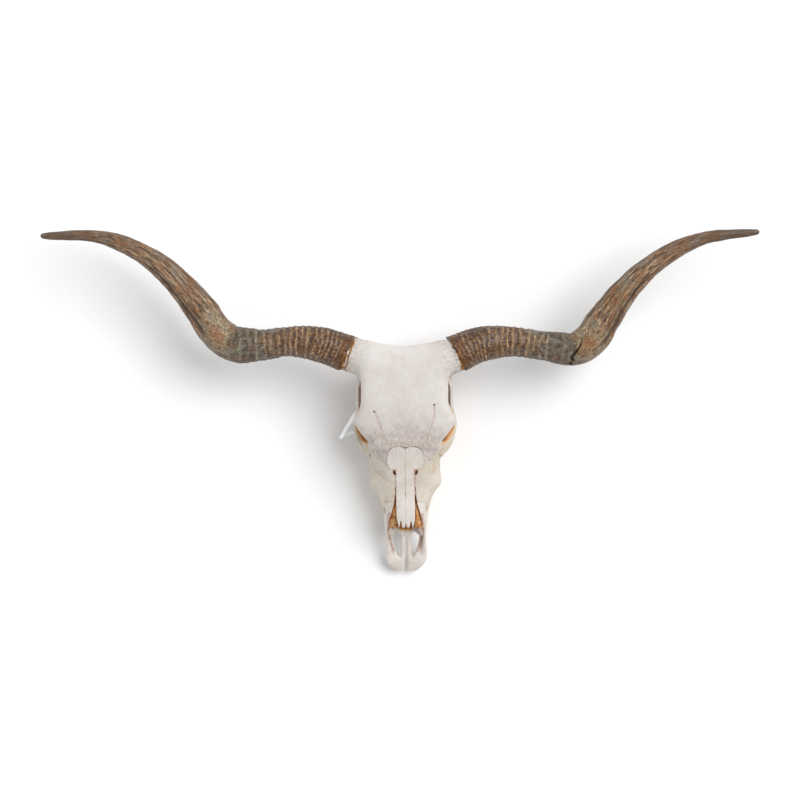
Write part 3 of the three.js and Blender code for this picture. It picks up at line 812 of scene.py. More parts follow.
def skin(block):
    """The surface where the distance is zero, as points (n, 3) and four-sided faces (m, 4)."""
    field = block.distance
    inside = field < 0
    shape = tuple(n - 1 for n in field.shape)
    count = np.zeros(shape, np.uint8)
    for corner in CORNERS:
        count += inside[tuple(slice(c, c + n) for c, n in zip(corner, shape))]
    cells = np.argwhere((count > 0) & (count < 8))
    number = np.full(shape, -1, np.int32)
    number[tuple(cells.T)] = np.arange(len(cells))

    total = np.zeros((len(cells), 3), np.float32)
    crossings = np.zeros((len(cells), 1), np.float32)
    for a, b in CELL_EDGES:
        value_a, value_b = (field[tuple((cells + end).T)] for end in (a, b))
        crossed = ((value_a < 0) != (value_b < 0))[:, None]
        share = (value_a / np.where(value_a == value_b, 1, value_a - value_b))[:, None]
        total += np.where(crossed, a + share * (b - a), 0)
        crossings += crossed
    low = np.array([axis[0] for axis in block.axes])
    points = low + (cells + total / crossings) * CELL

    faces = []
    for axis in range(3):
        u, v = (axis + 1) % 3, (axis + 2) % 3
        ends = [slice(1, -1)] * 3
        ends[axis] = slice(0, -1)
        near = inside[tuple(ends)]
        ends[axis] = slice(1, None)
        far = inside[tuple(ends)]
        at = np.argwhere(near != far)
        at[:, [u, v]] += 1
        round_edge = []
        for du, dv in (0, 0), (1, 0), (1, 1), (0, 1):
            cell = at.copy()
            cell[:, u] -= du
            cell[:, v] -= dv
            round_edge.append(number[tuple(cell.T)])
        quads = np.stack(round_edge, 1)
        leaving = inside[tuple(at.T)]
        faces.append(np.where(leaving[:, None], quads, quads[:, ::-1]))
    return points, np.concatenate(faces)


def normals_of(points, faces):
    """Outward normals at the points."""
    across = points[faces[:, 2]] - points[faces[:, 0]]
    face_normals = np.cross(across, points[faces[:, 3]] - points[faces[:, 1]])
    total = np.stack(
        [
            sum(np.bincount(faces[:, k], face_normals[:, axis], len(points)) for k in range(4))
            for axis in range(3)
        ],
        1,
    )
    return unit(total + 1e-12)


def sphere_directions(count):
    """Directions spread evenly over a sphere."""
    turn = np.arange(count) * math.pi * (3 - math.sqrt(5))
    height = 1 - (2 * np.arange(count) + 1) / count
    across = np.sqrt(1 - height**2)
    return np.stack([across * np.cos(turn), across * np.sin(turn), height], 1)


class Shelter:
    """How closed in a place on the skull is: the share of the directions out of it that meet bone."""

    REACH = (4, 7, 11, 16, 22, 30, 40, 55)  # mm at which bone is looked for

    def __init__(self, block):
        self.inside = block.distance < 0
        self.low = np.array([axis[0] for axis in block.axes], np.float32)
        self.most = np.array(block.distance.shape) - 1

    def meets_bone(self, places):
        places = np.abs(places * (1, 0, 0)) + places * (0, 1, 1)
        cell = np.clip(np.rint((places - self.low) / CELL).astype(int), 0, self.most)
        return self.inside[tuple(cell.T)]

    def at(self, points, outwards):
        met, weight = np.zeros(len(points)), np.zeros(len(points))
        for direction in sphere_directions(40):
            facing = np.maximum(outwards @ direction, 0)
            looking = np.nonzero(facing > 0.05)[0]
            hit = np.zeros(len(looking), bool)
            for reach in self.REACH:
                hit |= self.meets_bone(points[looking] + 1.5 * outwards[looking] + direction * reach)
            met[looking] += facing[looking] * hit
            weight += facing
        return met / np.maximum(weight, 1e-6)


# ---------------------------------------------------------------- pieces


def to_frame(places):
    """Places (x, s, z) in the skull, in mm, as places in the frame, in metres."""
    x, y, z = places[..., 0], -places[..., 1], places[..., 2]
    turned = x * math.cos(SKULL_TURN) - y * math.sin(SKULL_TURN), x * math.sin(SKULL_TURN) + y * math.cos(SKULL_TURN)
    return np.stack([turned[0] + MIDLINE_X, turned[1] + POLL_Y, z], -1) / 1000


def make_piece(name, nodes, points, faces, materials, measures=None, second=None):
    """A piece from places in the skull and faces. measures are values at its points for the materials."""
    points = np.maximum(points, (-np.inf, -np.inf, 0))
    # The skull's places run left-handed, so faces turn over on their way into the frame.
    faces = faces[:, ::-1]
    mesh = bpy.data.meshes.new(name)
    sides = faces.shape[1]
    mesh.vertices.add(len(points))
    mesh.vertices.foreach_set("co", to_frame(points).astype(np.float32).ravel())
    mesh.loops.add(faces.size)
    mesh.loops.foreach_set("vertex_index", np.ascontiguousarray(faces).astype(np.int32).ravel())
    mesh.polygons.add(len(faces))
    mesh.polygons.foreach_set("loop_start", np.arange(0, faces.size, sides, dtype=np.int32))
    mesh.polygons.foreach_set("use_smooth", np.ones(len(faces), bool))
    if second is not None:
        mesh.polygons.foreach_set("material_index", second.astype(np.int32))
    for key, values in (measures or {}).items():
        kind, field = ("FLOAT", "value") if values.ndim == 1 else ("FLOAT_VECTOR", "vector")
        layer = mesh.attributes.new(key, kind, "POINT")
        layer.data.foreach_set(field, values.astype(np.float32).ravel())
    mesh.update(calc_edges=True)
    mesh.validate()
    for material in materials:
        mesh.materials.append(material)
    piece = bpy.data.objects.new(name, mesh)
    bpy.context.scene.collection.objects.link(piece)
    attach(piece, "root")
    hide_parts(*nodes)
    return piece


# ---------------------------------------------------------------- materials


def colour(red, green, blue):
    """A colour given as on a screen, 0 to 255, in the linear values that Blender mixes."""
    share = np.array((red, green, blue)) / 255
    linear = np.where(share <= 0.04045, share / 12.92, ((share + 0.055) / 1.055) ** 2.4)
    return (*linear.tolist(), 1)


class Nodes:
    """Short ways to place nodes in a material or group. A value may be a number, a colour or a socket."""

    def __init__(self, tree):
        self.tree = tree

    def put(self, kind, inputs=None, **settings):
        node = self.tree.nodes.new(kind)
        for key, value in settings.items():
            setattr(node, key, value)
        for key, value in (inputs or {}).items():
            if isinstance(value, bpy.types.NodeSocket):
                self.tree.links.new(value, node.inputs[key])
            else:
                node.inputs[key].default_value = value
        return node

    def maths(self, operation, a, b=0.0):
        return self.put("ShaderNodeMath", {0: a, 1: b}, operation=operation).outputs[0]

    def noise(self, vector, scale, detail=4.0, roughness=0.55, distortion=0.0):
        inputs = {
            "Vector": vector, "Scale": scale, "Detail": detail,
            "Roughness": roughness, "Distortion": distortion,
        }
        return self.put("ShaderNodeTexNoise", inputs).outputs["Fac"]

    def between(self, value, low, high):
        """0 where the value is under low, 1 over high."""
        inputs = {"Value": value, "From Min": low, "From Max": high}
        return self.put("ShaderNodeMapRange", inputs, interpolation_type="SMOOTHSTEP").outputs["Result"]

    def mix(self, share, a, b, blend_type="MIX"):
        node = self.put("ShaderNodeMix", {0: share, 6: a, 7: b}, data_type="RGBA", blend_type=blend_type)
        return node.outputs[2]

    def ramp(self, value, *stops):
        node = self.put("ShaderNodeValToRGB", {"Fac": value})
        elements = node.color_ramp.elements
        while len(elements) < len(stops):
            elements.new(0.5)
        for element, (position, shade) in zip(elements, stops):
            element.position, element.color = position, shade
        return node.outputs["Color"]

    def measure(self, name):
        return self.put("ShaderNodeAttribute", attribute_name=name)

    def group(self, tree, inputs):
        return self.put("ShaderNodeGroup", inputs, node_tree=tree)

    def scaled(self, vector, scale):
        return self.put("ShaderNodeMapping", {"Vector": vector, "Scale": scale}).outputs[0]


def new_group(name, inputs, outputs):
    """An empty node group, its nodes, its input node's sockets and its output node."""
    tree = bpy.data.node_groups.new(name, "ShaderNodeTree")
    for label, kind, value in inputs:
        socket = tree.interface.new_socket(label, in_out="INPUT", socket_type=kind)
        if value is not None:
            socket.default_value = value
    for label, kind in outputs:
        tree.interface.new_socket(label, in_out="OUTPUT", socket_type=kind)
    nodes = Nodes(tree)
    entry = tree.nodes.new("NodeGroupInput")
    leave = tree.nodes.new("NodeGroupOutput")
    return nodes, entry.outputs, leave.inputs


def mottle_group():
    """Two colours in soft patches with fine specks in them."""
    nodes, entry, leave = new_group(
        "mottle",
        (
            ("Vector", "NodeSocketVector", None), ("Light", "NodeSocketColor", (1, 1, 1, 1)),
            ("Dark", "NodeSocketColor", (0, 0, 0, 1)), ("Patches", "NodeSocketFloat", 20.0),
            ("Specks", "NodeSocketFloat", 300.0), ("Contrast", "NodeSocketFloat", 0.5),
        ),
        (("Color", "NodeSocketColor"),),
    )
    patches = nodes.noise(entry["Vector"], entry["Patches"], 5)
    specks = nodes.noise(entry["Vector"], entry["Specks"], 3)
    both = nodes.maths("ADD", nodes.maths("MULTIPLY", patches, 0.7), nodes.maths("MULTIPLY", specks, 0.3))
    share = nodes.maths("MULTIPLY", nodes.between(both, 0.38, 0.64), entry["Contrast"])
    nodes.tree.links.new(nodes.mix(share, entry["Light"], entry["Dark"]), leave["Color"])
    return nodes.tree


def shade_and_stain_group():
    """Brown in the hollows, uneven at its edge: stain together with painted shade, driven by how closed in a place
    is.
    """
    nodes, entry, leave = new_group(
        "shade_and_stain",
        (
            ("Vector", "NodeSocketVector", None), ("Shade and stain", "NodeSocketFloat", 0.0),
            ("Clean", "NodeSocketColor", (1, 1, 1, 1)), ("Thin", "NodeSocketColor", (0.5, 0.4, 0.3, 1)),
            ("Thick", "NodeSocketColor", (0.1, 0.05, 0.02, 1)),
        ),
        (("Color", "NodeSocketColor"), ("Mask", "NodeSocketFloat")),
    )
    uneven = nodes.maths("MULTIPLY", nodes.maths("SUBTRACT", nodes.noise(entry["Vector"], 55, 6), 0.5), 0.35)
    depth = nodes.maths("ADD", entry["Shade and stain"], uneven)
    thin_share = nodes.between(depth, 0.2, 0.75)
    thick_share = nodes.between(depth, 0.6, 1.05)
    shade = nodes.mix(thick_share, nodes.mix(thin_share, entry["Clean"], entry["Thin"]), entry["Thick"])
    nodes.tree.links.new(shade, leave["Color"])
    nodes.tree.links.new(thin_share, leave["Mask"])
    return nodes.tree


def relief_group():
    """The height of a worn surface: broad unevenness, fine grain and scattered pits."""
    nodes, entry, leave = new_group(
        "relief",
        (
            ("Vector", "NodeSocketVector", None), ("Grain", "NodeSocketFloat", 400.0),
            ("Pits", "NodeSocketFloat", 250.0), ("Pit depth", "NodeSocketFloat", 0.5),
        ),
        (("Height", "NodeSocketFloat"),),
    )
    grain = nodes.noise(entry["Vector"], entry["Grain"], 5, 0.65)
    cells = nodes.put("ShaderNodeTexVoronoi", {"Vector": entry["Vector"], "Scale": entry["Pits"]}).outputs["Distance"]
    pits = nodes.maths("MULTIPLY", nodes.between(cells, 0.28, 0.05), entry["Pit depth"])
    nodes.tree.links.new(nodes.maths("SUBTRACT", grain, pits), leave["Height"])
    return nodes.tree


MOTTLE, SHADE_AND_STAIN, RELIEF = mottle_group(), shade_and_stain_group(), relief_group()


def new_material(name):
    material = bpy.data.materials.new(name)
    material.use_nodes = True
    material.node_tree.nodes.clear()
    nodes = Nodes(material.node_tree)
    shader = nodes.put("ShaderNodeBsdfPrincipled")
    end = nodes.put("ShaderNodeOutputMaterial")
    nodes.tree.links.new(shader.outputs[0], end.inputs["Surface"])
    return material, nodes, shader


def connect(nodes, shader, base, roughness, height=None, bump=0.3, distance=0.001):
    for socket, value in (("Base Color", base), ("Roughness", roughness)):
        if isinstance(value, bpy.types.NodeSocket):
            nodes.tree.links.new(value, shader.inputs[socket])
        else:
            shader.inputs[socket].default_value = value
    if height is not None:
        node = nodes.put("ShaderNodeBump", {"Height": height, "Strength": bump, "Distance": distance})
        nodes.tree.links.new(node.outputs[0], shader.inputs["Normal"])


def bleached_bone(name, light, dark, blush):
    """Sun-bleached bone in patches of two tones, greyer low on the forehead, brown in the hollows from stain and
    painted shade.
    """
    material, nodes, shader = new_material(name)
    place = nodes.put("ShaderNodeTexCoord").outputs["Object"]
    measures = {key: nodes.measure(key).outputs["Fac"] for key in ("grey", "hollow_shade_and_stain", "flaky", "amber", "crease")}
    body = nodes.group(MOTTLE, {
        "Vector": place, "Light": light, "Dark": dark, "Patches": 17.0, "Specks": 260.0, "Contrast": 0.8,
    })
    veins = nodes.noise(nodes.scaled(place, (200, 95, 120)), 1.0, 8, 0.72, 0.9)
    veined = nodes.ramp(
        veins,
        (0.34, colour(146, 135, 127)), (0.45, colour(172, 161, 153)),
        (0.55, colour(189, 179, 172)), (0.66, colour(206, 198, 192)),
    )
    greyed = nodes.mix(measures["grey"], body.outputs["Color"], veined)
    stain = nodes.noise(place, 28.0, 5, 0.6, 0.5)
    blushing = nodes.maths("MULTIPLY", nodes.between(stain, 0.56, 0.7), blush)
    stained = nodes.mix(blushing, greyed, colour(188, 166, 132))
    wrinkles = nodes.noise(nodes.scaled(place, (120, 420, 300)), 1.0, 6, 0.75, 0.6)
    scales = nodes.noise(nodes.scaled(place, (210, 330, 300)), 1.0, 5, 0.7, 1.6)
    rifts = nodes.between(nodes.maths("ABSOLUTE", nodes.maths("SUBTRACT", scales, 0.5)), 0.035, 0.005)
    torn = nodes.maths("MAXIMUM", nodes.maths("MULTIPLY", rifts, 0.6), nodes.between(wrinkles, 0.53, 0.62))
    cracks = nodes.maths("MULTIPLY", torn, measures["flaky"])
    cracked = nodes.mix(nodes.maths("MULTIPLY", cracks, 0.95), stained, colour(112, 86, 62))
    # Brown in the hollows: stain together with painted shade.
    hollow_shade_and_stain = nodes.group(SHADE_AND_STAIN, {
        "Vector": place, "Shade and stain": measures["hollow_shade_and_stain"], "Clean": cracked,
        "Thin": colour(214, 172, 120), "Thick": colour(168, 102, 40),
    })
    lined = nodes.mix(measures["crease"], hollow_shade_and_stain.outputs["Color"], colour(150, 88, 44))
    keratin = nodes.mix(nodes.between(measures["amber"], 0.25, 0.7), lined, nodes.ramp(
        wrinkles, (0.4, colour(84, 48, 14)), (0.5, colour(146, 92, 32)), (0.62, colour(196, 146, 74)),
    ))
    relief = nodes.group(RELIEF, {"Vector": place, "Grain": 380.0, "Pits": 260.0, "Pit depth": 0.5})
    height = nodes.maths("SUBTRACT", relief.outputs["Height"], nodes.maths("MULTIPLY", cracks, 1.5))
    dullness = nodes.maths("ADD", nodes.maths("MULTIPLY", hollow_shade_and_stain.outputs["Mask"], 0.2), 0.6)
    connect(nodes, shader, keratin, dullness, height, bump=0.4, distance=0.0008)
    return material


def tooth_enamel():
    """Enamel: creamy, smoother than the bone, with brown between the ridges from stain and painted shade."""
    material, nodes, shader = new_material("tooth_enamel")
    place = nodes.put("ShaderNodeTexCoord").outputs["Object"]
    body = nodes.group(MOTTLE, {
        "Vector": nodes.scaled(place, (1, 1, 0.25)), "Light": colour(214, 200, 172), "Dark": colour(160, 130, 92),
        "Patches": 90.0, "Specks": 420.0, "Contrast": 0.8,
    })
    hollow_shade_and_stain = nodes.group(SHADE_AND_STAIN, {
        "Vector": place, "Shade and stain": nodes.measure("hollow_shade_and_stain").outputs["Fac"], "Clean": body.outputs["Color"],
        "Thin": colour(176, 138, 92), "Thick": colour(84, 54, 30),
    })
    relief = nodes.group(RELIEF, {
        "Vector": nodes.scaled(place, (1, 1, 0.2)), "Grain": 420.0, "Pits": 300.0, "Pit depth": 0.1,
    })
    connect(nodes, shader, hollow_shade_and_stain.outputs["Color"], 0.36, relief.outputs["Height"], bump=0.2, distance=0.0005)
    return material


def horn_sheath():
    """Weathered horn: ringed brown near the skull, then slate grey, ochre at the elbow, fibrous beyond it, with
    painted shade on its sides, on its rings' relief, in its flutes and in the crack.
    """
    material, nodes, shader = new_material("horn_sheath")
    course = nodes.measure("course").outputs["Vector"]
    groove, ring, start, crown = (nodes.measure(key).outputs["Fac"] for key in ("groove", "ring", "length", "crown"))
    drift = nodes.maths("MULTIPLY", nodes.maths("SUBTRACT", nodes.noise(course, 35.0, 4, 0.7), 0.5), 0.2)
    length = nodes.maths("ADD", start, drift)
    scratches = nodes.noise(nodes.scaled(course, (340, 60, 60)), 1.0, 6, 0.75, 0.8)
    fibres = nodes.noise(nodes.scaled(course, (24, 300, 300)), 1.0, 7, 0.75, 0.5)
    bark = nodes.noise(nodes.scaled(course, (110, 190, 190)), 1.0, 8, 0.8, 0.8)
    patches = nodes.noise(nodes.scaled(course, (26, 44, 44)), 1.0, 5, 0.65, 0.5)
    splits = nodes.noise(nodes.scaled(course, (60, 170, 170)), 1.0, 6, 0.7, 1.4)
    split = nodes.between(nodes.maths("ABSOLUTE", nodes.maths("SUBTRACT", splits, 0.5)), 0.022, 0.004)
    split = nodes.maths("MULTIPLY", split, nodes.between(length, 0.16, 0.34))
    worn = nodes.maths("ADD", nodes.maths("MULTIPLY", scratches, 0.45), nodes.maths("MULTIPLY", bark, 0.55))
    # Painted shading: the rings' crests lighter and their valleys darker, following their relief, over the rings' own
    # banding.
    painted_ring_relief = nodes.maths("MULTIPLY", nodes.maths("SUBTRACT", ring, 0.36), 0.085)
    banded = nodes.maths("ADD", worn, painted_ring_relief)
    ringed = nodes.ramp(
        banded,
        (0.39, colour(24, 13, 5)), (0.455, colour(66, 42, 22)),
        (0.52, colour(108, 78, 50)), (0.61, colour(186, 149, 110)),
    )
    slate = nodes.ramp(
        banded,
        (0.39, colour(28, 21, 13)), (0.45, colour(64, 52, 36)),
        (0.52, colour(102, 88, 67)), (0.61, colour(176, 160, 130)),
    )
    ochre = nodes.ramp(
        bark,
        (0.39, colour(54, 36, 20)), (0.455, colour(116, 90, 60)),
        (0.52, colour(154, 131, 98)), (0.61, colour(206, 188, 154)),
    )
    woven = nodes.maths("ADD", nodes.maths("MULTIPLY", fibres, 0.7), nodes.maths("MULTIPLY", bark, 0.3))
    fibrous = nodes.ramp(
        woven,
        (0.41, colour(36, 22, 13)), (0.465, colour(94, 65, 42)),
        (0.52, colour(146, 110, 76)), (0.61, colour(222, 192, 150)),
    )
    near = nodes.mix(nodes.between(length, 0.15, 0.27), ringed, slate)
    bent = nodes.mix(nodes.between(length, 0.31, 0.38), near, ochre)
    arm = nodes.mix(nodes.between(length, 0.42, 0.47), bent, fibrous)
    rust = nodes.maths("MULTIPLY", nodes.between(patches, 0.5, 0.62), nodes.between(length, 0.06, 0.46))
    warm = nodes.mix(nodes.maths("MULTIPLY", rust, 0.55), arm, colour(140, 82, 40))
    ashen = nodes.maths("MULTIPLY", nodes.between(patches, 0.48, 0.38), nodes.between(length, 0.1, 0.22))
    cool = nodes.mix(nodes.maths("MULTIPLY", ashen, 0.5), warm, colour(128, 124, 112))
    tip = nodes.mix(nodes.maths("MULTIPLY", nodes.between(length, 0.62, 0.98), 0.75), cool, colour(74, 56, 42))
    cleft = nodes.mix(nodes.maths("MULTIPLY", split, 0.6), tip, colour(44, 32, 22))
    edge = nodes.maths("ADD", start, nodes.maths("MULTIPLY", nodes.maths("SUBTRACT", bark, 0.5), 0.03))
    amber = nodes.mix(nodes.between(edge, 0.032, 0.013), cleft, nodes.ramp(
        worn,
        (0.41, colour(28, 14, 5)), (0.48, colour(72, 40, 11)),
        (0.54, colour(118, 72, 20)), (0.62, colour(178, 130, 60)),
    ))
    # Painted shade: the flutes and the crack darkened in step with their depth.
    dark = nodes.mix(nodes.maths("MULTIPLY", groove, 0.85), amber, colour(34, 22, 13))
    # Painted shade: each horn darker towards its sides and underside, with full colour only on its top.
    painted_side_shade = nodes.mix(nodes.between(crown, -0.1, 0.85), (0.5, 0.46, 0.43, 1), (1, 1, 1, 1))
    shade = nodes.mix(1.0, dark, painted_side_shade, "MULTIPLY")
    dust = nodes.maths("MULTIPLY", nodes.noise(course, 800.0, 4), 0.3)
    fine = nodes.maths("SUBTRACT", dust, nodes.maths("MULTIPLY", split, 0.4))
    grain = nodes.maths("ADD", woven, fine)
    dullness = nodes.maths("ADD", nodes.maths("MULTIPLY", bark, 0.4), 0.18)
    connect(nodes, shader, shade, dullness, grain, bump=0.7, distance=0.0014)
    return material


def white_nylon():
    """Moulded nylon, slightly milky, with faint scuffs."""
    material, nodes, shader = new_material("white_nylon")
    place = nodes.put("ShaderNodeTexCoord").outputs["Object"]
    scuffs = nodes.noise(nodes.scaled(place, (900, 900, 200)), 1.0, 4)
    shade = nodes.mix(nodes.between(scuffs, 0.45, 0.75), colour(250, 252, 255), colour(230, 237, 242))
    connect(nodes, shader, shade, nodes.maths("ADD", nodes.maths("MULTIPLY", scuffs, 0.2), 0.28), scuffs, 0.1, 0.0004)
    shader.inputs["Subsurface Weight"].default_value = 0.15
    shader.inputs["Subsurface Radius"].default_value = (0.002, 0.002, 0.002)
    return material


def plain_floor():
    material, nodes, shader = new_material("plain_floor")
    place = nodes.put("ShaderNodeTexCoord").outputs["Object"]
    shade = nodes.mix(nodes.noise(place, 3.0), colour(243, 243, 243), colour(241, 241, 241))
    connect(nodes, shader, shade, 0.9)
    return material


FRONTAL_BONE = bleached_bone("frontal_bone", colour(209, 204, 200), colour(198, 190, 184), 0.2)
FACE_BONE = bleached_bone("face_bone", colour(210, 202, 189), colour(188, 174, 154), 0.6)
NASAL_BONE = bleached_bone("nasal_bone", colour(216, 210, 204), colour(192, 181, 170), 0.2)
ENAMEL, HORN, NYLON = tooth_enamel(), horn_sheath(), white_nylon()

# ---------------------------------------------------------------- bones as pieces


def horn_mouth(name):
    """Where a horn's sheath begins: the middle of its mouth and the direction it leaves in, on its side."""
    places = curve(HORN_STOPS[name], np.array((0, 0.001)))
    return places[0], unit(places[1] - places[0])


def horn_core(name, side):
    """The bony core that carries the sheath, out of the frontal's back corner and a little way inside it."""
    middle, ahead = horn_mouth(name)
    stops = [
        (*(middle - ahead * depth) * (side, 1, 1), half, half * HORN_FLATNESS)
        for depth, half in ((74, 32), (46, 38.5), (24, 41.8), (10, 42), (0, 40.2), (-14, 37.5))
    ]
    return bar(stops)


def supraorbital_grooves(cranium):
    """The grooves that run from the openings over the eyes down to the nose, uneven left and right."""
    right = (68, 141), (69, 158), (68, 171), (61, 195), (49, 229)
    left = (-71, 156), (-66, 168), (-62, 179), (-54, 205), (-44, 229)
    for stops in (right, left):
        tops = [cranium.top_at(x, s) for x, s in stops]
        groove = [(x, s, z + 1.1, 2.1, 2.1) for (x, s), z in zip(stops, tops)]
        cranium.carve(bar(groove), 2)
        (x, s), z = stops[0], tops[0]
        outwards = math.copysign(1, x)
        hole = (
            (x, s + 5, z + 1, 2.1, 2.1),
            (x + 2 * outwards, s - 2, z - 6, 2.3, 2.3),
            (x + 8 * outwards, s - 8, z - 15, 2.6, 2.6),
        )
        cranium.carve(bar(hole, up=(0, 1, 0)), 2)


def orbit_front_rim(cranium):
    """The frontal's raised, ragged edge where it ends over the lacrimal, at the front of each orbit."""
    for side in (1, -1):
        stops = [
            (side * x, s, cranium.top_at(side * x, s) - 1.4, 4, 3.2)
            for x, s in ((81, 236), (77, 246), (68, 256), (57, 267))
        ]
        cranium.add(bar(stops), 4)


def hollow_shade_and_stain_at(points, share, sideways):
    """How brown the bone is at points: painted shade where a point is closed in, and stain with painted shade in the
    nose, in the orbits and behind the cheek arches.

    sideways is how far each point faces away from the midline.
    """
    x, s, z = np.abs(points[:, 0]), points[:, 1], points[:, 2]
    # The brown in the nose is stain together with painted shade.
    end = 434 + 7 * step(20, 12, x)  # s where the stain in the nose fades
    in_nose = step(4, 9, topline(s) - z) * step(1, 4, snout["flank_x"](s) - x) * step(298, 306, s)
    in_nose = in_nose * step(9, -7, s - end) * step(PALATE_Z, PALATE_Z + 4, z)
    opening = step(-1, 2, aperture_half_width(s) - x) * step(329, 335, s) * step(5, 10, topline(s) - z)
    reach = along((90, 5.5), (165, 5.5), (185, 10), (207, 20), (226, 34), (250, 34))(s)
    # Painted shade with stain on the arch's inner face, under the frontal's edge.
    under_roof = step(8, 30, roof_edge(s) - z) * step(reach, 0.15 * reach, x - roof_half_width(s)) * step(246, 234, s)
    sheltered = np.maximum(step(0.03, 0.16, share), step(178, 186, s) * step(0.5, 0.1, sideways))
    in_nose = in_nose * np.maximum(opening, step(0.16, 0.4, share)) * (1 + 0.3 * rough(points, 7, 71, 2))
    pocket = np.maximum(in_nose, under_roof * sheltered * step(60, 85, s))
    # Painted shade: the more of the directions out of a point that meet bone, the browner it is.
    return np.clip(step(0.42, 1.0, share) + 0.85 * pocket, 0, 1)


def evened(values, faces, times=5):
    """Values at points, each averaged with its neighbours' a few times over."""
    shared = np.maximum(np.bincount(faces.ravel(), minlength=len(values)), 1)
    for _ in range(times):
        middle = values[faces].mean(1)
        values = sum(np.bincount(faces[:, k], middle, len(values)) for k in range(4)) / shared
    return values


def near_path(points, stops, width):
    """1 on a path of stops (x, s) seen from above, falling to 0 beside it."""
    middles = curve(np.pad(np.array(stops, float), ((0, 0), (0, 1))), np.linspace(0, 1, 40))[:, :2]
    nearest = np.full(len(points), np.inf)
    for middle in middles:
        nearest = np.minimum(nearest, ((points[:, :2] - middle) ** 2).sum(1))
    return np.exp(-nearest / width**2)


# Lines in which dirt has settled, and, first among the nose lines, the hole beside the nasal bone, whose brown is
# painted shade with stain: a path of (x, s), its half width and how strong it is.
FOREHEAD_LINES = (
    (((68, 143), (69, 158), (68, 171), (61, 195)), 1.9, 0.42), (((61, 195), (55, 213), (49, 229)), 1.9, 0.18),
    (((-71, 158), (-66, 168), (-62, 179), (-57, 196)), 1.9, 0.45), (((-57, 196), (-50, 214), (-44, 229)), 1.9, 0.24),
    (((0, 100), (0.8, 140), (-0.5, 190), (0.4, 236)), 1.3, 0.16),
)
NOSE_LINES = (
    # painted shade with stain filling the hole beside the nasal bone
    (((24, 296), (25.5, 300), (24.5, 305)), 4.2, 1.0),
    (((22.6, 308), (22.4, 320), (22.3, 333)), 1.3, 0.5),
    (((22.3, 333), (23.5, 346), (25, 372)), 2.2, 0.5),
    (((38.5, 398), (40.5, 418), (41, 438)), 3.0, 0.85),
    (((41.4, 442), (38, 459), (34, 474), (29, 491)), 3.0, 0.75),
)


def horn_base_wear(points, mouths):
    """How flaky the bone round the sheaths' mouths is, and where horn still clings to it."""
    flaky, amber = np.zeros(len(points)), np.zeros(len(points))
    for middle, ahead in mouths:
        depth = (middle - points) @ ahead
        close = step(98, 66, np.linalg.norm(points - middle, axis=1))
        uneven = depth + 8 * rough(points, 26, 61, 2)
        flaky = np.maximum(flaky, close * (0.5 * step(76, 26, uneven) + 0.5 * step(28, 6, uneven)))
        strand = np.exp(-(((depth + 3.5 * rough(points, 14, 63, 2) - 9) / 2.6) ** 2))
        strand = strand * step(0.0, 0.35, noise(points, 30, 65) + 0.35 * math.copysign(1, -middle[0]))
        amber = np.maximum(amber, close * np.maximum(strand, step(5, 2, depth + 3 * rough(points, 9, 67, 2))))
    return flaky, amber


def creases(kind, points, on_top):
    """How deep points lie in the lines that dirt has settled in, and in the painted shade with stain of the hole
    beside the nasal bone.
    """
    crease = np.zeros(len(points))
    if kind == "cranium":
        for path, width, strength in FOREHEAD_LINES:
            crease = np.maximum(crease, strength * on_top * near_path(points, path, width))
    else:
        for path, width, strength in NOSE_LINES:
            crease = np.maximum(crease, strength * near_path(np.abs(points), path, width))
    return crease * (0.5 + 0.5 * step(-0.3, 0.3, noise(points, 4, 69)))


def weathered(kind, points, faces, share, mouths, greyness):
    """Points moved by wear and growth, and the measures that the bone materials read."""
    outwards = normals_of(points, faces)
    x, s, z = points.T
    on_top = step(0.2, 0.7, outwards[:, 2])
    flaky, amber = horn_base_wear(points, mouths)
    crease = creases(kind, points, on_top)
    lumps = 0.5 * rough(points, 22, 21) + 0.24 * rough(points, 6, 25, 2)
    flakes = 2.1 * np.abs(rough(points, 7, 31)) + 1.9 * np.maximum(0, rough(points, 3.2, 35, 2))
    moved = points + outwards * (lumps - flaky**2 * flakes + 0.8 * amber - 0.5 * crease)[:, None]
    settle = step(10, 60, z)
    for axis, amount in enumerate((1.3, 1.3, 1.0)):
        moved[:, axis] += amount * settle * noise(points, 85, 41 + axis)
    low_forehead = on_top * step(128, 236, s + 14 * rough(points, 36, 55, 2) - 0.22 * np.abs(x))
    if kind == "nasal":
        low_forehead = low_forehead * step(296, 246, s)
    grey = greyness * np.clip(low_forehead + 0.18 * rough(points, 14, 51) * step(120, 160, s), 0, 1)
    sideways = outwards[:, 0] * np.sign(x)
    hollow_shade_and_stain = hollow_shade_and_stain_at(points, share, sideways)
    return moved, {"hollow_shade_and_stain": hollow_shade_and_stain, "grey": grey, "flaky": flaky, "amber": amber, "crease": crease}


# Each kind of bone's finish, and how grey its upper face is; the others are face bones.
BONE_FINISH = {
    "cranium": (FRONTAL_BONE, 1),
    "nasal": (NASAL_BONE, 0.5),
    "premaxilla": (NASAL_BONE, 0.05),
    "lacrimal": (FACE_BONE, 0.5),
}


def bone_piece(name, points, faces, shelter, mouths=()):
    """A bone with its finish. The maxilla's teeth are enamel."""
    share = evened(shelter.at(points, normals_of(points, faces)), faces)
    kind = name.split("_")[0]
    finish, greyness = BONE_FINISH.get(kind, (FACE_BONE, 0.2))
    moved, measures = weathered(kind, points, faces, share, mouths, greyness)
    enamel = None
    if kind == "maxilla":
        _, s, z = moved[faces].mean(1).T
        enamel = (z < snout["gum_outer_z"](s) + 2) & (s > 262) & (s < TEETH["start"] + 3)
    make_piece(f"{name}_bone", [name], moved, faces, [finish, ENAMEL], measures, enamel)


def mirrored(points, faces):
    return points * (-1, 1, 1), faces[:, ::-1]


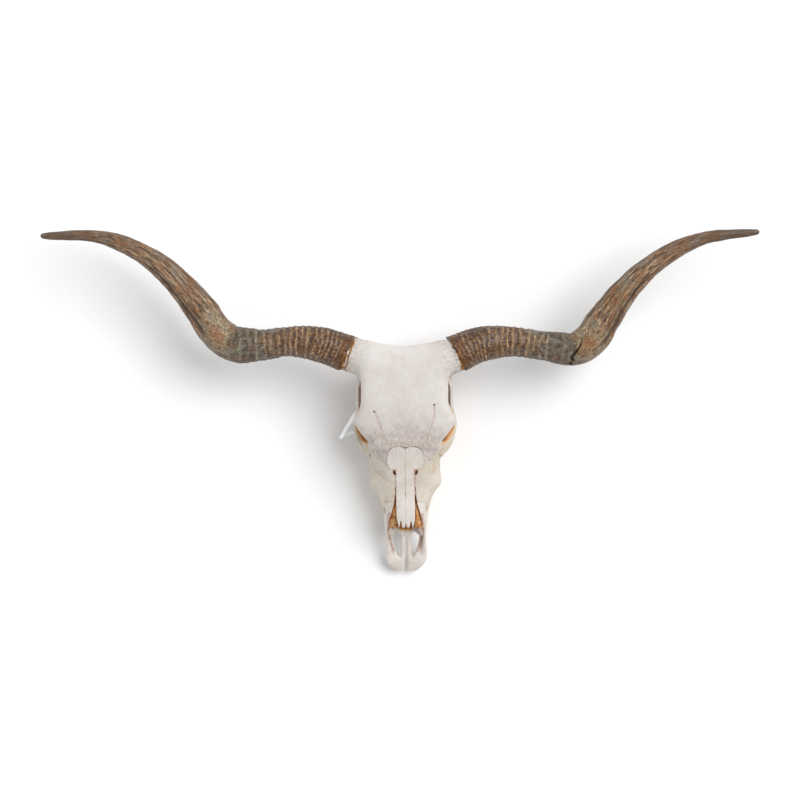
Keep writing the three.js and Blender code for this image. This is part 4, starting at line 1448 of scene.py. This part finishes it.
def make_bones():
    skull = skull_half()
    nasals = half_block()
    nasal_bone(nasals)
    nasals.distance = smooth_most(nasals.distance, GAP / 2 - nasals.axes[0][:, None, None], 0.8)
    shelter = Shelter(Block(skull.axes, np.minimum(skull.distance, nasals.distance)))
    bones = bones_of(skull)
    cranium = bones.pop("cranium").fitted(CRANIUM_END, CORE_END).both_sides()
    for name, side in SIDES:
        cranium.add(horn_core(name, side), 28)
    supraorbital_grooves(cranium)
    orbit_front_rim(cranium)
    mouths = []
    for name, side in SIDES:
        middle, ahead = horn_mouth(name)
        mouths.append((middle * (side, 1, 1), ahead * (side, 1, 1)))
    bone_piece("cranium", *skin(cranium), shelter, mouths)
    bones["nasal"] = nasals
    for name, block in bones.items():
        points, faces = skin(block)
        bone_piece(f"{name}_right", points, faces, shelter)
        bone_piece(f"{name}_left", *mirrored(points, faces), shelter)


# ---------------------------------------------------------------- horns

# Each horn's radius at distances along it from the sheath's mouth, in mm.
HORN_RADIUS = {
    "right": along(
        (0, 44), (35, 42), (78, 40), (130, 35.2), (184, 34.2), (233, 36), (250, 38), (272, 38.6), (297, 40),
        (327, 43.5), (345, 44.6), (360, 43.8), (378, 40.5), (397, 37.2), (435, 33.8), (470, 31), (502, 29.2),
        (535, 26.4), (566, 24), (592, 22.5), (619, 21.2), (645, 19.4), (672, 17.2), (695, 15.4), (718, 14),
        (742, 12.6), (766, 11), (790, 9.2), (813, 6.5),
    ),
    "left": along(
        (0, 44), (63, 41), (110, 37.5), (157, 33.8), (204, 35.5), (231, 39.5), (255, 42), (285, 41.2), (310, 42),
        (343, 43), (377, 41), (400, 37.5), (425, 34.6), (450, 32.2), (478, 30.2), (533, 27.4), (575, 24), (618, 21),
        (657, 17.6), (695, 14.8), (770, 10.5), (822, 6),
    ),
}
MOUTH_SLANT = math.tan(math.radians(9))  # of the sheath's edge, which lies nearer the poll at the back
TIP_LENGTH = 9  # over which the point rounds off
HORN_CELL = 1.4


def horn_rings(length, share, around, flat, seed):
    """Height in mm of the growth rings, and how far each point is up a crest, which lightens the crests as painted
    shading.

    The rings lean towards the skull on top and end before the elbow.
    """
    wander = rough(flat * (0.03, 0.014, 0.014), 1, seed, 2).reshape(length.shape)
    broken = rough(flat * (0.1, 0.035, 0.035), 1, seed + 1, 2).reshape(length.shape)
    passed = along(
        (-20, -2.1), (0, 0), (50, 5), (100, 9.2), (150, 12.8), (200, 15.8), (260, 19), (340, 22.5), (500, 28)
    )
    wave = 0.5 + 0.5 * np.cos(2 * np.pi * (passed(length + 8 * np.sin(around)) + 0.55 * wander))
    strength = along((0, 0.5), (0.04, 1.0), (0.2, 1.0), (0.3, 0.7), (0.36, 0.35), (0.42, 0))(share)
    strength = strength * np.clip(0.7 + 0.8 * broken, 0, 1)
    swells = 0.7 * noise(flat * (0.04, 0.01, 0.01), 1, seed + 2).reshape(length.shape)
    return 1.7 * strength * (wave**1.6 - 0.35) + swells, strength * wave**2


def horn_flutes(share, around, flat, seed):
    """Depth in mm of the long grooves beyond the elbow, and their painted shade, darker the deeper they are."""
    wander = 0.16 * rough(flat * (0.014, 0, 0), 1, seed, 2).reshape(share.shape)
    total, dark = 0, 0
    for turn, width, start, end, depth in (
        (2.35, 0.17, 0.38, 0.62, 4.2), (2.0, 0.1, 0.4, 0.56, 2.2), (1.5, 0.08, 0.42, 0.6, 1.7),
        (1.1, 0.1, 0.42, 0.7, 1.8), (0.5, 0.12, 0.4, 0.58, 1.6), (-0.6, 0.2, 0.38, 0.6, 2.4),
        (3.6, 0.16, 0.4, 0.62, 2.4), (4.4, 0.2, 0.42, 0.6, 2),
    ):
        off = np.angle(np.exp(1j * (around - turn - wander)))
        band = np.exp(-((off / width) ** 2)) * step(start, start + 0.05, share) * step(end + 0.12, end - 0.02, share)
        total = total + depth * band
        dark = np.maximum(dark, band * min(depth / 3.2, 1))
    return total, dark


def horn_crack(length, around, seed):
    """A ragged crack across the elbow: its depth in mm, and its painted shade."""
    path = along(
        (1.12, 324), (1.25, 314), (1.42, 303), (1.6, 293), (1.9, 280), (2.2, 274.5), (2.6, 273.5), (3.1, 277)
    )
    jag = np.stack([around, 0 * around, 0 * around], -1).reshape(-1, 3)
    middle = path(around) + 2.6 * rough(jag, 0.3, seed, 2).reshape(around.shape)
    width = 3.8 * step(0.95, 1.7, around) * step(3.3, 2.5, around) + 0.01
    gap = step(1.0, 0.6, np.abs(length - middle) / width) * step(1.1, 1.25, around) * step(3.1, 2.9, around)
    return 9 * gap, gap


def horn_piece(name, side):
    stops = HORN_STOPS[name]
    fine = curve(stops, np.linspace(0, 1, 3000))
    total = np.linalg.norm(np.diff(fine, axis=0), axis=1).sum()
    rows, columns = int(total / HORN_CELL), int(2 * np.pi * 40 / HORN_CELL)
    t = np.linspace(0, 1, rows)
    middles = curve(stops, t)
    ahead = unit(np.gradient(middles, axis=0))
    across = unit(np.cross(ahead, (0, 0, 1)))
    over = np.cross(across, ahead)
    travelled = np.concatenate([[0], np.cumsum(np.linalg.norm(np.diff(middles, axis=0), axis=1))])
    around = np.linspace(0, 2 * np.pi, columns, endpoint=False)
    length, turn = np.meshgrid(travelled, around, indexing="ij")
    share = length / total
    seed = 60 if side > 0 else 80

    radius = HORN_RADIUS[name](length)
    inner = 0.16 * np.exp(-(((length - 337) / 26) ** 2)) * np.maximum(np.cos(turn), 0)
    outer = 0.09 * np.exp(-(((length - 376) / 18) ** 2)) * np.maximum(-np.cos(turn), 0)
    radius = radius * (1 - inner - outer)
    flat = np.stack([length, radius * np.cos(turn), radius * np.sin(turn)], -1)
    spread = flat.reshape(-1, 3)
    rings, crests = horn_rings(length, share, turn, spread, seed)
    flutes, shade = horn_flutes(share, turn, spread, seed + 3)
    fibres = 0.5 * rough(spread * (0.08, 1, 1), 4.5, seed + 5).reshape(length.shape)
    lumps = 1.2 * noise(spread, 60, seed + 9).reshape(length.shape)
    bark = 0.55 * rough(spread * (0.5, 1, 1), 7, seed + 12).reshape(length.shape)
    fading = step(1.0, 0.72, share)
    height = rings + (fibres + bark) * (0.25 + 0.75 * fading) * step(1.0, 0.97, share) + lumps * fading - flutes
    if name == "right":
        crack, crack_shade = horn_crack(length, turn, seed + 20)
        height = height - crack
        shade = np.maximum(shade, crack_shade)
    left_over = np.clip((total - length) / TIP_LENGTH, 0, 1)
    radius = (radius + height) * np.sqrt(1 - (1 - left_over) ** 2)

    ragged = 3.8 * rough(spread * (0, 1, 1), 15, seed + 30).reshape(length.shape)
    shift = (ragged - MOUTH_SLANT * radius * np.cos(turn)) * step(34, 0, length)
    out = (
        middles[:, None]
        + across[:, None] * (radius * np.cos(turn))[..., None]
        + over[:, None] * (radius * np.sin(turn) * HORN_FLATNESS)[..., None]
        + ahead[:, None] * shift[..., None]
    )
    lip = [
        out[0] - (out[0] - middles[0]) * depth + ahead[0] * inwards
        for depth, inwards in ((0.035, -0.4), (0.075, 0.6), (0.085, 14))
    ]
    lip_rows = len(lip)
    points = (np.concatenate([np.stack(lip[::-1]), out]) * (side, 1, 1)).reshape(-1, 3)
    faces = tube_faces(rows + lip_rows, columns)
    faces = faces if side < 0 else faces[:, ::-1]
    points, faces = closed_ends(points, faces, columns)

    def with_lip(values):
        first = np.repeat(values[:1], lip_rows, axis=0)
        whole = np.concatenate([first, values]).reshape(-1, *values.shape[2:])
        return np.concatenate([whole, whole[:1], whole[-1:]])

    measures = {
        "course": with_lip(flat) / 1000,
        "length": with_lip(share),
        # painted shade of the flutes and the crack
        "groove": with_lip(shade),
        "ring": with_lip(crests),
        # How far up its section a point lies, read by the painted side shade.
        "crown": with_lip(np.sin(turn)),
    }
    make_piece(f"sheath_{name}", [f"horn_{name}"], points, faces, [HORN], measures)


def tube_faces(rings, columns):
    """The faces between neighbouring rings of points."""
    row, column = np.meshgrid(np.arange(rings - 1), np.arange(columns), indexing="ij")
    after = (column + 1) % columns
    corners = (row, column), (row, after), (row + 1, after), (row + 1, column)
    return np.stack([ring * columns + place for ring, place in corners], -1).reshape(-1, 4)


def closed_ends(points, faces, columns):
    """A tube of rings closed with a fan of narrow faces at each end."""
    first, last = points[:columns], points[-columns:]
    count = len(points)
    points = np.vstack([points, first.mean(0), last.mean(0)])
    ring = np.arange(columns)
    after = (ring + 1) % columns
    forward = faces[0, 1] == 1

    def fan(one, other, middle):
        return np.stack([one, other, np.full(columns, middle), np.full(columns, middle)], 1)

    last_ring = count - columns
    caps = np.concatenate([fan(after, ring, count), fan(last_ring + ring, last_ring + after, count + 1)])
    if not forward:
        caps = caps[:, [1, 0, 2, 3]]
    return points, np.concatenate([faces, caps])


# ---------------------------------------------------------------- the tie


def tie_band():
    """The band of the tie, with a strip of small teeth along the middle of one face."""
    steps = 520
    t = np.linspace(0, 1, steps)
    middles = curve(TIE_STOPS, t) * (1, -1, 1)
    ahead = unit(np.gradient(middles, axis=0))
    flat = unit(np.cross(ahead, (0.73, -0.69, 0)))
    across = np.cross(flat, ahead)
    travelled = np.concatenate([[0], np.cumsum(np.linalg.norm(np.diff(middles, axis=0), axis=1))])
    half_width, half_thickness = TIE["half_width"], TIE["half_thickness"]
    teeth = TIE["tooth_height"] * (travelled / TIE["tooth_pitch"] % 1)
    section = (
        (-1, -0.5), (-0.94, -1), (-0.6, -1), (-0.55, -0.9), (0.55, -0.9), (0.6, -1), (0.94, -1), (1, -0.5),
        (1, 0.5), (0.94, 1), (0.5, 1), (0.45, 0.8), (-0.45, 0.8), (-0.5, 1), (-0.94, 1), (-1, 0.5),
    )
    rings = []
    for u, v in section:
        height = v * half_thickness - (teeth if v == 0.8 else 0)
        rings.append(middles + across * (u * half_width) + flat * np.broadcast_to(height, t.shape)[:, None])
    points = np.stack(rings, 1).reshape(-1, 3) * (1, -1, 1)
    columns = len(section)
    return closed_ends(points, tube_faces(steps, columns)[:, ::-1], columns)


def tie_head():
    """The tie's locking head: a rounded block with the slot that the band passes through."""
    block = bmesh.new()
    bmesh.ops.create_cube(block, size=1)
    bmesh.ops.scale(block, vec=TIE_HEAD["size"], verts=block.verts)
    ends = [face for face in block.faces if abs(face.normal.x) > 0.9]
    bmesh.ops.inset_individual(block, faces=ends, thickness=1.3)
    for face in ends:
        moved = bmesh.ops.extrude_discrete_faces(block, faces=[face])["faces"]
        bmesh.ops.translate(block, vec=-moved[0].normal * 3.4, verts=moved[0].verts)
    outer = [edge for edge in block.edges if edge.calc_length() > 5.5]
    bmesh.ops.bevel(block, geom=outer, offset=0.9, segments=3, affect="EDGES", profile=0.6)
    mesh = bpy.data.meshes.new("tie_head")
    block.to_mesh(mesh)
    block.free()
    return mesh


def make_tie():
    points, faces = tie_band()
    make_piece("tie_band", ["hanging_tie"], points, faces, [NYLON])
    mesh = tie_head()
    mesh.materials.append(NYLON)
    head = bpy.data.objects.new("tie_head", mesh)
    bpy.context.scene.collection.objects.link(head)
    head.location = to_frame(np.array(TIE_HEAD["at"], float))
    head.rotation_euler = (0, TIE_HEAD["tilt"], TIE_HEAD["turn"] + SKULL_TURN)
    head.scale = (0.001,) * 3
    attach(head, "root")


# ---------------------------------------------------------------- floor, light and camera

CAMERA = {"height": 6.0, "y": 0.0073, "lens": 112.1}
KEY_LIGHT = {"towards": (0.52, 0.31, 0.8), "spread": math.radians(44), "strength": 2.6}
ROOM_LIGHT = {"overhead": 0.5, "left": 1.32, "right": 0.2, "horizon": 0.92}


def stage():
    mesh = bpy.data.meshes.new("floor")
    reach = 15
    corners = (-reach, -reach, 0), (reach, -reach, 0), (reach, reach, 0), (-reach, reach, 0)
    mesh.from_pydata(corners, [], [(0, 1, 2, 3)])
    floor = bpy.data.objects.new("floor", mesh)
    mesh.materials.append(plain_floor())
    bpy.context.scene.collection.objects.link(floor)


def lights():
    world = bpy.data.worlds.new("soft_room")
    world.use_nodes = True
    nodes = Nodes(world.node_tree)
    direction = nodes.put("ShaderNodeTexCoord").outputs["Generated"]
    across, _, height = nodes.put("ShaderNodeSeparateXYZ", {0: direction}).outputs
    overhead, left, right, horizon = (
        (ROOM_LIGHT[key],) * 3 + (1,) for key in ("overhead", "left", "right", "horizon")
    )
    sides = nodes.mix(nodes.between(across, -0.7, 0.7), left, right)
    walls = nodes.mix(nodes.between(height, 0.05, 0.2), horizon, sides)
    shade = nodes.mix(nodes.between(height, 0.35, 0.6), walls, overhead)
    nodes.tree.links.new(shade, world.node_tree.nodes["Background"].inputs["Color"])
    bpy.context.scene.world = world
    light = bpy.data.lights.new("key", "SUN")
    light.angle, light.energy = KEY_LIGHT["spread"], KEY_LIGHT["strength"]
    lamp = bpy.data.objects.new("key", light)
    away = unit(np.array(KEY_LIGHT["towards"]))
    lamp.location = away * 3
    lamp.rotation_euler = (math.acos(away[2]), 0, math.atan2(away[1], away[0]) + math.pi / 2)
    bpy.context.scene.collection.objects.link(lamp)


def camera():
    lens = bpy.data.cameras.new("camera")
    lens.lens, lens.sensor_width = CAMERA["lens"], 36
    lens.clip_end = 100
    seen_from = bpy.data.objects.new("camera", lens)
    seen_from.location = (0, CAMERA["y"], CAMERA["height"])
    bpy.context.scene.collection.objects.link(seen_from)
    bpy.context.scene.camera = seen_from
    bpy.context.scene.view_settings.view_transform = "Standard"


# ---------------------------------------------------------------- putting it together

camera()
lights()
stage()
make_bones()
for horn_name, horn_side in SIDES:
    horn_piece(horn_name, horn_side)
make_tie()
